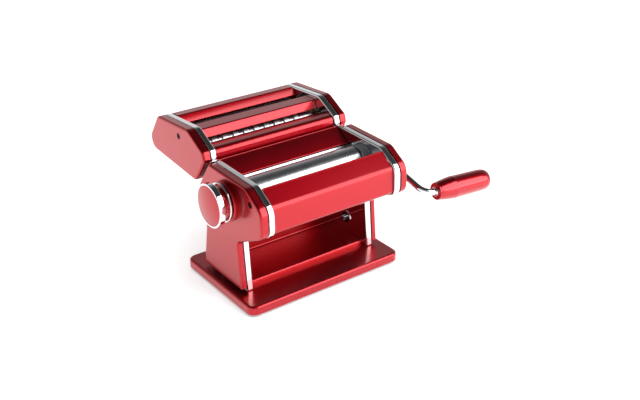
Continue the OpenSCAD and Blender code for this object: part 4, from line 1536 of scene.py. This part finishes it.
@dataclass
class Cutter:
    """The lift-off attachment with its two pairs of cutting rollers."""

    outline: Outline = Outline(
        (
            (45.4, 114), (140.5, 120.6), (144.8, 134.5), (124.5, 163.6),
            (56.9, 168.6), (27.2, 152.6), (24.8, 143),
        ),
        (8, 11, 12, 9, 14, 5, 4),
    )
    screw_at: Spot = (76.8, 155.2)
    wide: float = 6.75
    fine: float = 1.6
    rail_x: float = 58.0

    def build(self) -> None:
        """Build the attachment's pieces."""
        for side in Side:
            self.end_pieces(side)
        self.nose()
        self.divider()
        self.rear_cover()
        screws = screw("cross_slot_cutter_screws", self.screw_at, "black_oxide")
        dress(screws, "cutter", "black_oxide", "cutter_screws")
        for row in (
            CutRoller("wide_front_roller", "wide_follower", PLACES.wide_front, self.wide, 0.0, False),
            CutRoller("wide_rear_roller", "wide_driver", PLACES.wide_rear, self.wide, self.wide, True),
            CutRoller("fine_front_roller", "fine_follower", PLACES.fine_front, self.fine, 0.0, False),
            CutRoller("fine_rear_roller", "fine_driver", PLACES.fine_rear, self.fine, self.fine, True),
        ):
            row.build()

    def end_pieces(self, side: Side) -> None:
        """Press the frame and the cover of one end."""
        made = flanged_frame(f"pressed_cutter_{side.word}_frame", self.outline, side)
        dress(made, "cutter", "chrome", f"cutter_{side.word}_frame")
        cover = cover_shell(f"pressed_cutter_{side.word}_cover", self.outline, PLACES.head, side)
        holes = [Stand.sink(side, self.screw_at)]
        if side is Side.RIGHT:
            holes += [rod_tool(PLACES.head - 4, PLACES.head + 2, q, 6.9) for q in (PLACES.wide_rear, PLACES.fine_rear)]
        cut(cover, *holes)
        dress(cover, "cutter", "red_enamel", f"cutter_{side.word}_cover")

    def nose(self) -> None:
        """Fold the nose: a wall behind the head, a bullnose and a ramp down to the wide rollers."""
        up = slant_up()
        wall = Vector(SLANT_TOP) + (1.0 + 0.9 + SHEET) * slant_out()
        low, high = (wall + up * ((z - wall.y) / up.y) for z in (117.0, 141.4))
        path = [tuple(low), tuple(high), (29.9, 151.7), (40.0, 151.6), (51.4, 149.4)]
        made = folded_sheet("folded_cutter_nose", path, [3.0, 5.2, 3.0], steps=12)
        middle = Vector(SLANT_FOOT) + 0.45 * (Vector(SLANT_TOP) - Vector(SLANT_FOOT))
        tools = []
        for side in Side:
            tool = block("tool", (side.value * self.rail_x - 1.3, -1, -40), (side.value * self.rail_x + 1.3, 5, 11.2))
            turn = Matrix.Rotation(math.atan2(-up.x, up.y), 4, "X")
            tool.data.transform(Matrix.Translation(Vector((0, middle.x, middle.y)) * MM) @ turn)
            tools.append(tool)
        dress(cut(made, *tools), "cutter", "red_enamel", "cutter_nose_cover")

    def divider(self) -> None:
        """Fold the divider between the two pairs."""
        path = [(82.8, 156.6), (81.4, 160.7), (64.6, 161.0), (61.4, 152.8)]
        made = folded_sheet("folded_cutter_divider", path, [1.3, 1.3], -SHEET)
        dress(made, "cutter", "red_enamel", "cutter_divider")

    def rear_cover(self) -> None:
        """Fold the rear cover from behind the fine rollers round to the underside."""
        path = [(102.4, 156.8), (109, 163.4), (122.6, 162.4), (141.6, 134.4), (137.6, 123.4), (122, 121)]
        made = folded_sheet("folded_cutter_rear_cover", path, [1.6, 6.0, 9.0, 8.0], steps=12)
        dress(made, "cutter", "red_enamel", "cutter_rear_cover")


# ---------------------------------------------------------------- what stays as the frame has it


def paint_carried_nodes() -> None:
    """Give every CAD node that still shows the finish of its material slot."""
    slots = {row["node"]: row["material_slot"] for row in frame["record"]["subparts"]}
    for name, node in frame["nodes"].items():
        if node.hide_render:
            continue
        material = PAINTS.get(slots[name])
        for place in node.material_slots:
            place.material = material
        LOG.info("%s keeps its CAD shape, in %s", name, material.name)


# ---------------------------------------------------------------- studio


@dataclass
class Studio:
    """A pale floor, soft lights and the camera."""

    eye: tuple[float, float, float] = (-527.9, -761.4, 549.1)
    azimuth: float = math.radians(-36.59)
    elevation: float = math.radians(26.79)
    lens: float = 53.06
    floor_colour: str = "#F4F4F4"

    def build(self) -> None:
        """Set the stage."""
        self.camera()
        self.floor()
        self.world()
        self.light("key_panel", (640, -930, 700), (0, 0, 110), (950, 1250), 15.0)
        self.light("floor_fill", (0, 0, 2200), (0, 0, 0), (4000, 4000), 95.0, reflected=False)
        bpy.context.scene.view_settings.view_transform = "Standard"

    def camera(self) -> None:
        """Place the camera."""
        data = bpy.data.cameras.new("camera")
        data.sensor_width, data.lens = 36.0, self.lens
        data.clip_start, data.clip_end = 0.05, 20.0
        camera = bpy.data.objects.new("camera", data)
        a, e = self.azimuth, self.elevation
        back = Vector((math.sin(a) * math.cos(e), -math.cos(a) * math.cos(e), math.sin(e)))
        camera.location = Vector(self.eye) * MM
        camera.rotation_euler = (-back).to_track_quat("-Z", "Y").to_euler()
        bpy.context.scene.collection.objects.link(camera)
        bpy.context.scene.camera = camera

    def floor(self) -> None:
        """Lay a pale matt floor."""
        half = 4000.0
        shape = Shape()
        corners = ((-half, -half), (half, -half), (half, half), (-half, half))
        shape.faces.append(tuple(shape.ring(Vector((x, y, 0)) for x, y in corners)))
        floor = shape.object("pale_floor")
        material = bpy.data.materials.new("pale_studio_floor")
        material.use_nodes = True
        shader = material.node_tree.nodes["Principled BSDF"]
        shader.inputs["Base Color"].default_value = linear(self.floor_colour)
        shader.inputs["Roughness"].default_value = 0.9
        shader.inputs["Specular IOR Level"].default_value = 0.2
        shader.inputs["Emission Color"].default_value = linear(self.floor_colour)
        shader.inputs["Emission Strength"].default_value = 0.3
        floor.data.materials.append(material)

    def world(self) -> None:
        """Surround the scene with a soft room: bright at and below the horizon, darker overhead, and plain white where
        the camera looks straight out.
        """
        world = bpy.data.worlds.new("soft_room")
        world.use_nodes = True
        tree = world.node_tree
        tree.nodes.clear()
        way = add_node(tree, "ShaderNodeTexCoord").outputs["Generated"]
        height = add_node(tree, "ShaderNodeSeparateXYZ", links={"Vector": way}).outputs["Z"]
        glow = add_node(
            tree,
            "ShaderNodeMapRange",
            {"From Min": 0.0, "From Max": 0.85, "To Min": 0.95, "To Max": 0.04},
            {"Value": height},
            interpolation_type="SMOOTHSTEP",
        )
        room = add_node(tree, "ShaderNodeBackground", {"Color": linear("#FFFFFF")}, {"Strength": glow.outputs["Result"]})
        paper = add_node(tree, "ShaderNodeBackground", {"Color": linear("#FFFFFF"), "Strength": 1.05})
        seen = add_node(tree, "ShaderNodeLightPath").outputs["Is Camera Ray"]
        mix = add_node(tree, "ShaderNodeMixShader", links={0: seen, 1: room.outputs[0], 2: paper.outputs[0]})
        add_node(tree, "ShaderNodeOutputWorld", links={"Surface": mix.outputs["Shader"]})
        bpy.context.scene.world = world

    @staticmethod
    def light(
        name: str, at: Sequence[float], to: Sequence[float], size: Spot, watts: float, reflected: bool = True
    ) -> None:
        """Hang a soft panel that faces a point.

        Args:
            name: the light's name.
            at: its place in millimetres.
            to: the point that it faces.
            size: its width and height in millimetres.
            watts: its power.
            reflected: False keeps the panel out of mirror-like reflections.
        """
        data = bpy.data.lights.new(name, "AREA")
        data.shape = "RECTANGLE"
        data.size, data.size_y = size[0] * MM, size[1] * MM
        data.energy = watts
        lamp = bpy.data.objects.new(name, data)
        lamp.visible_glossy = reflected
        lamp.location = Vector(at) * MM
        lamp.rotation_euler = (Vector(to) - Vector(at)).to_track_quat("-Z", "Y").to_euler()
        bpy.context.scene.collection.objects.link(lamp)


def main() -> None:
    """Build the machine and its studio."""
    logging.basicConfig(level=logging.INFO, format="%(name)s: %(message)s")
    Studio().build()
    Stand().build()
    Rollers().build()
    Crank().build()
    Knob().build()
    Cutter().build()
    paint_carried_nodes()


if __name__ == "__main__":
    main()
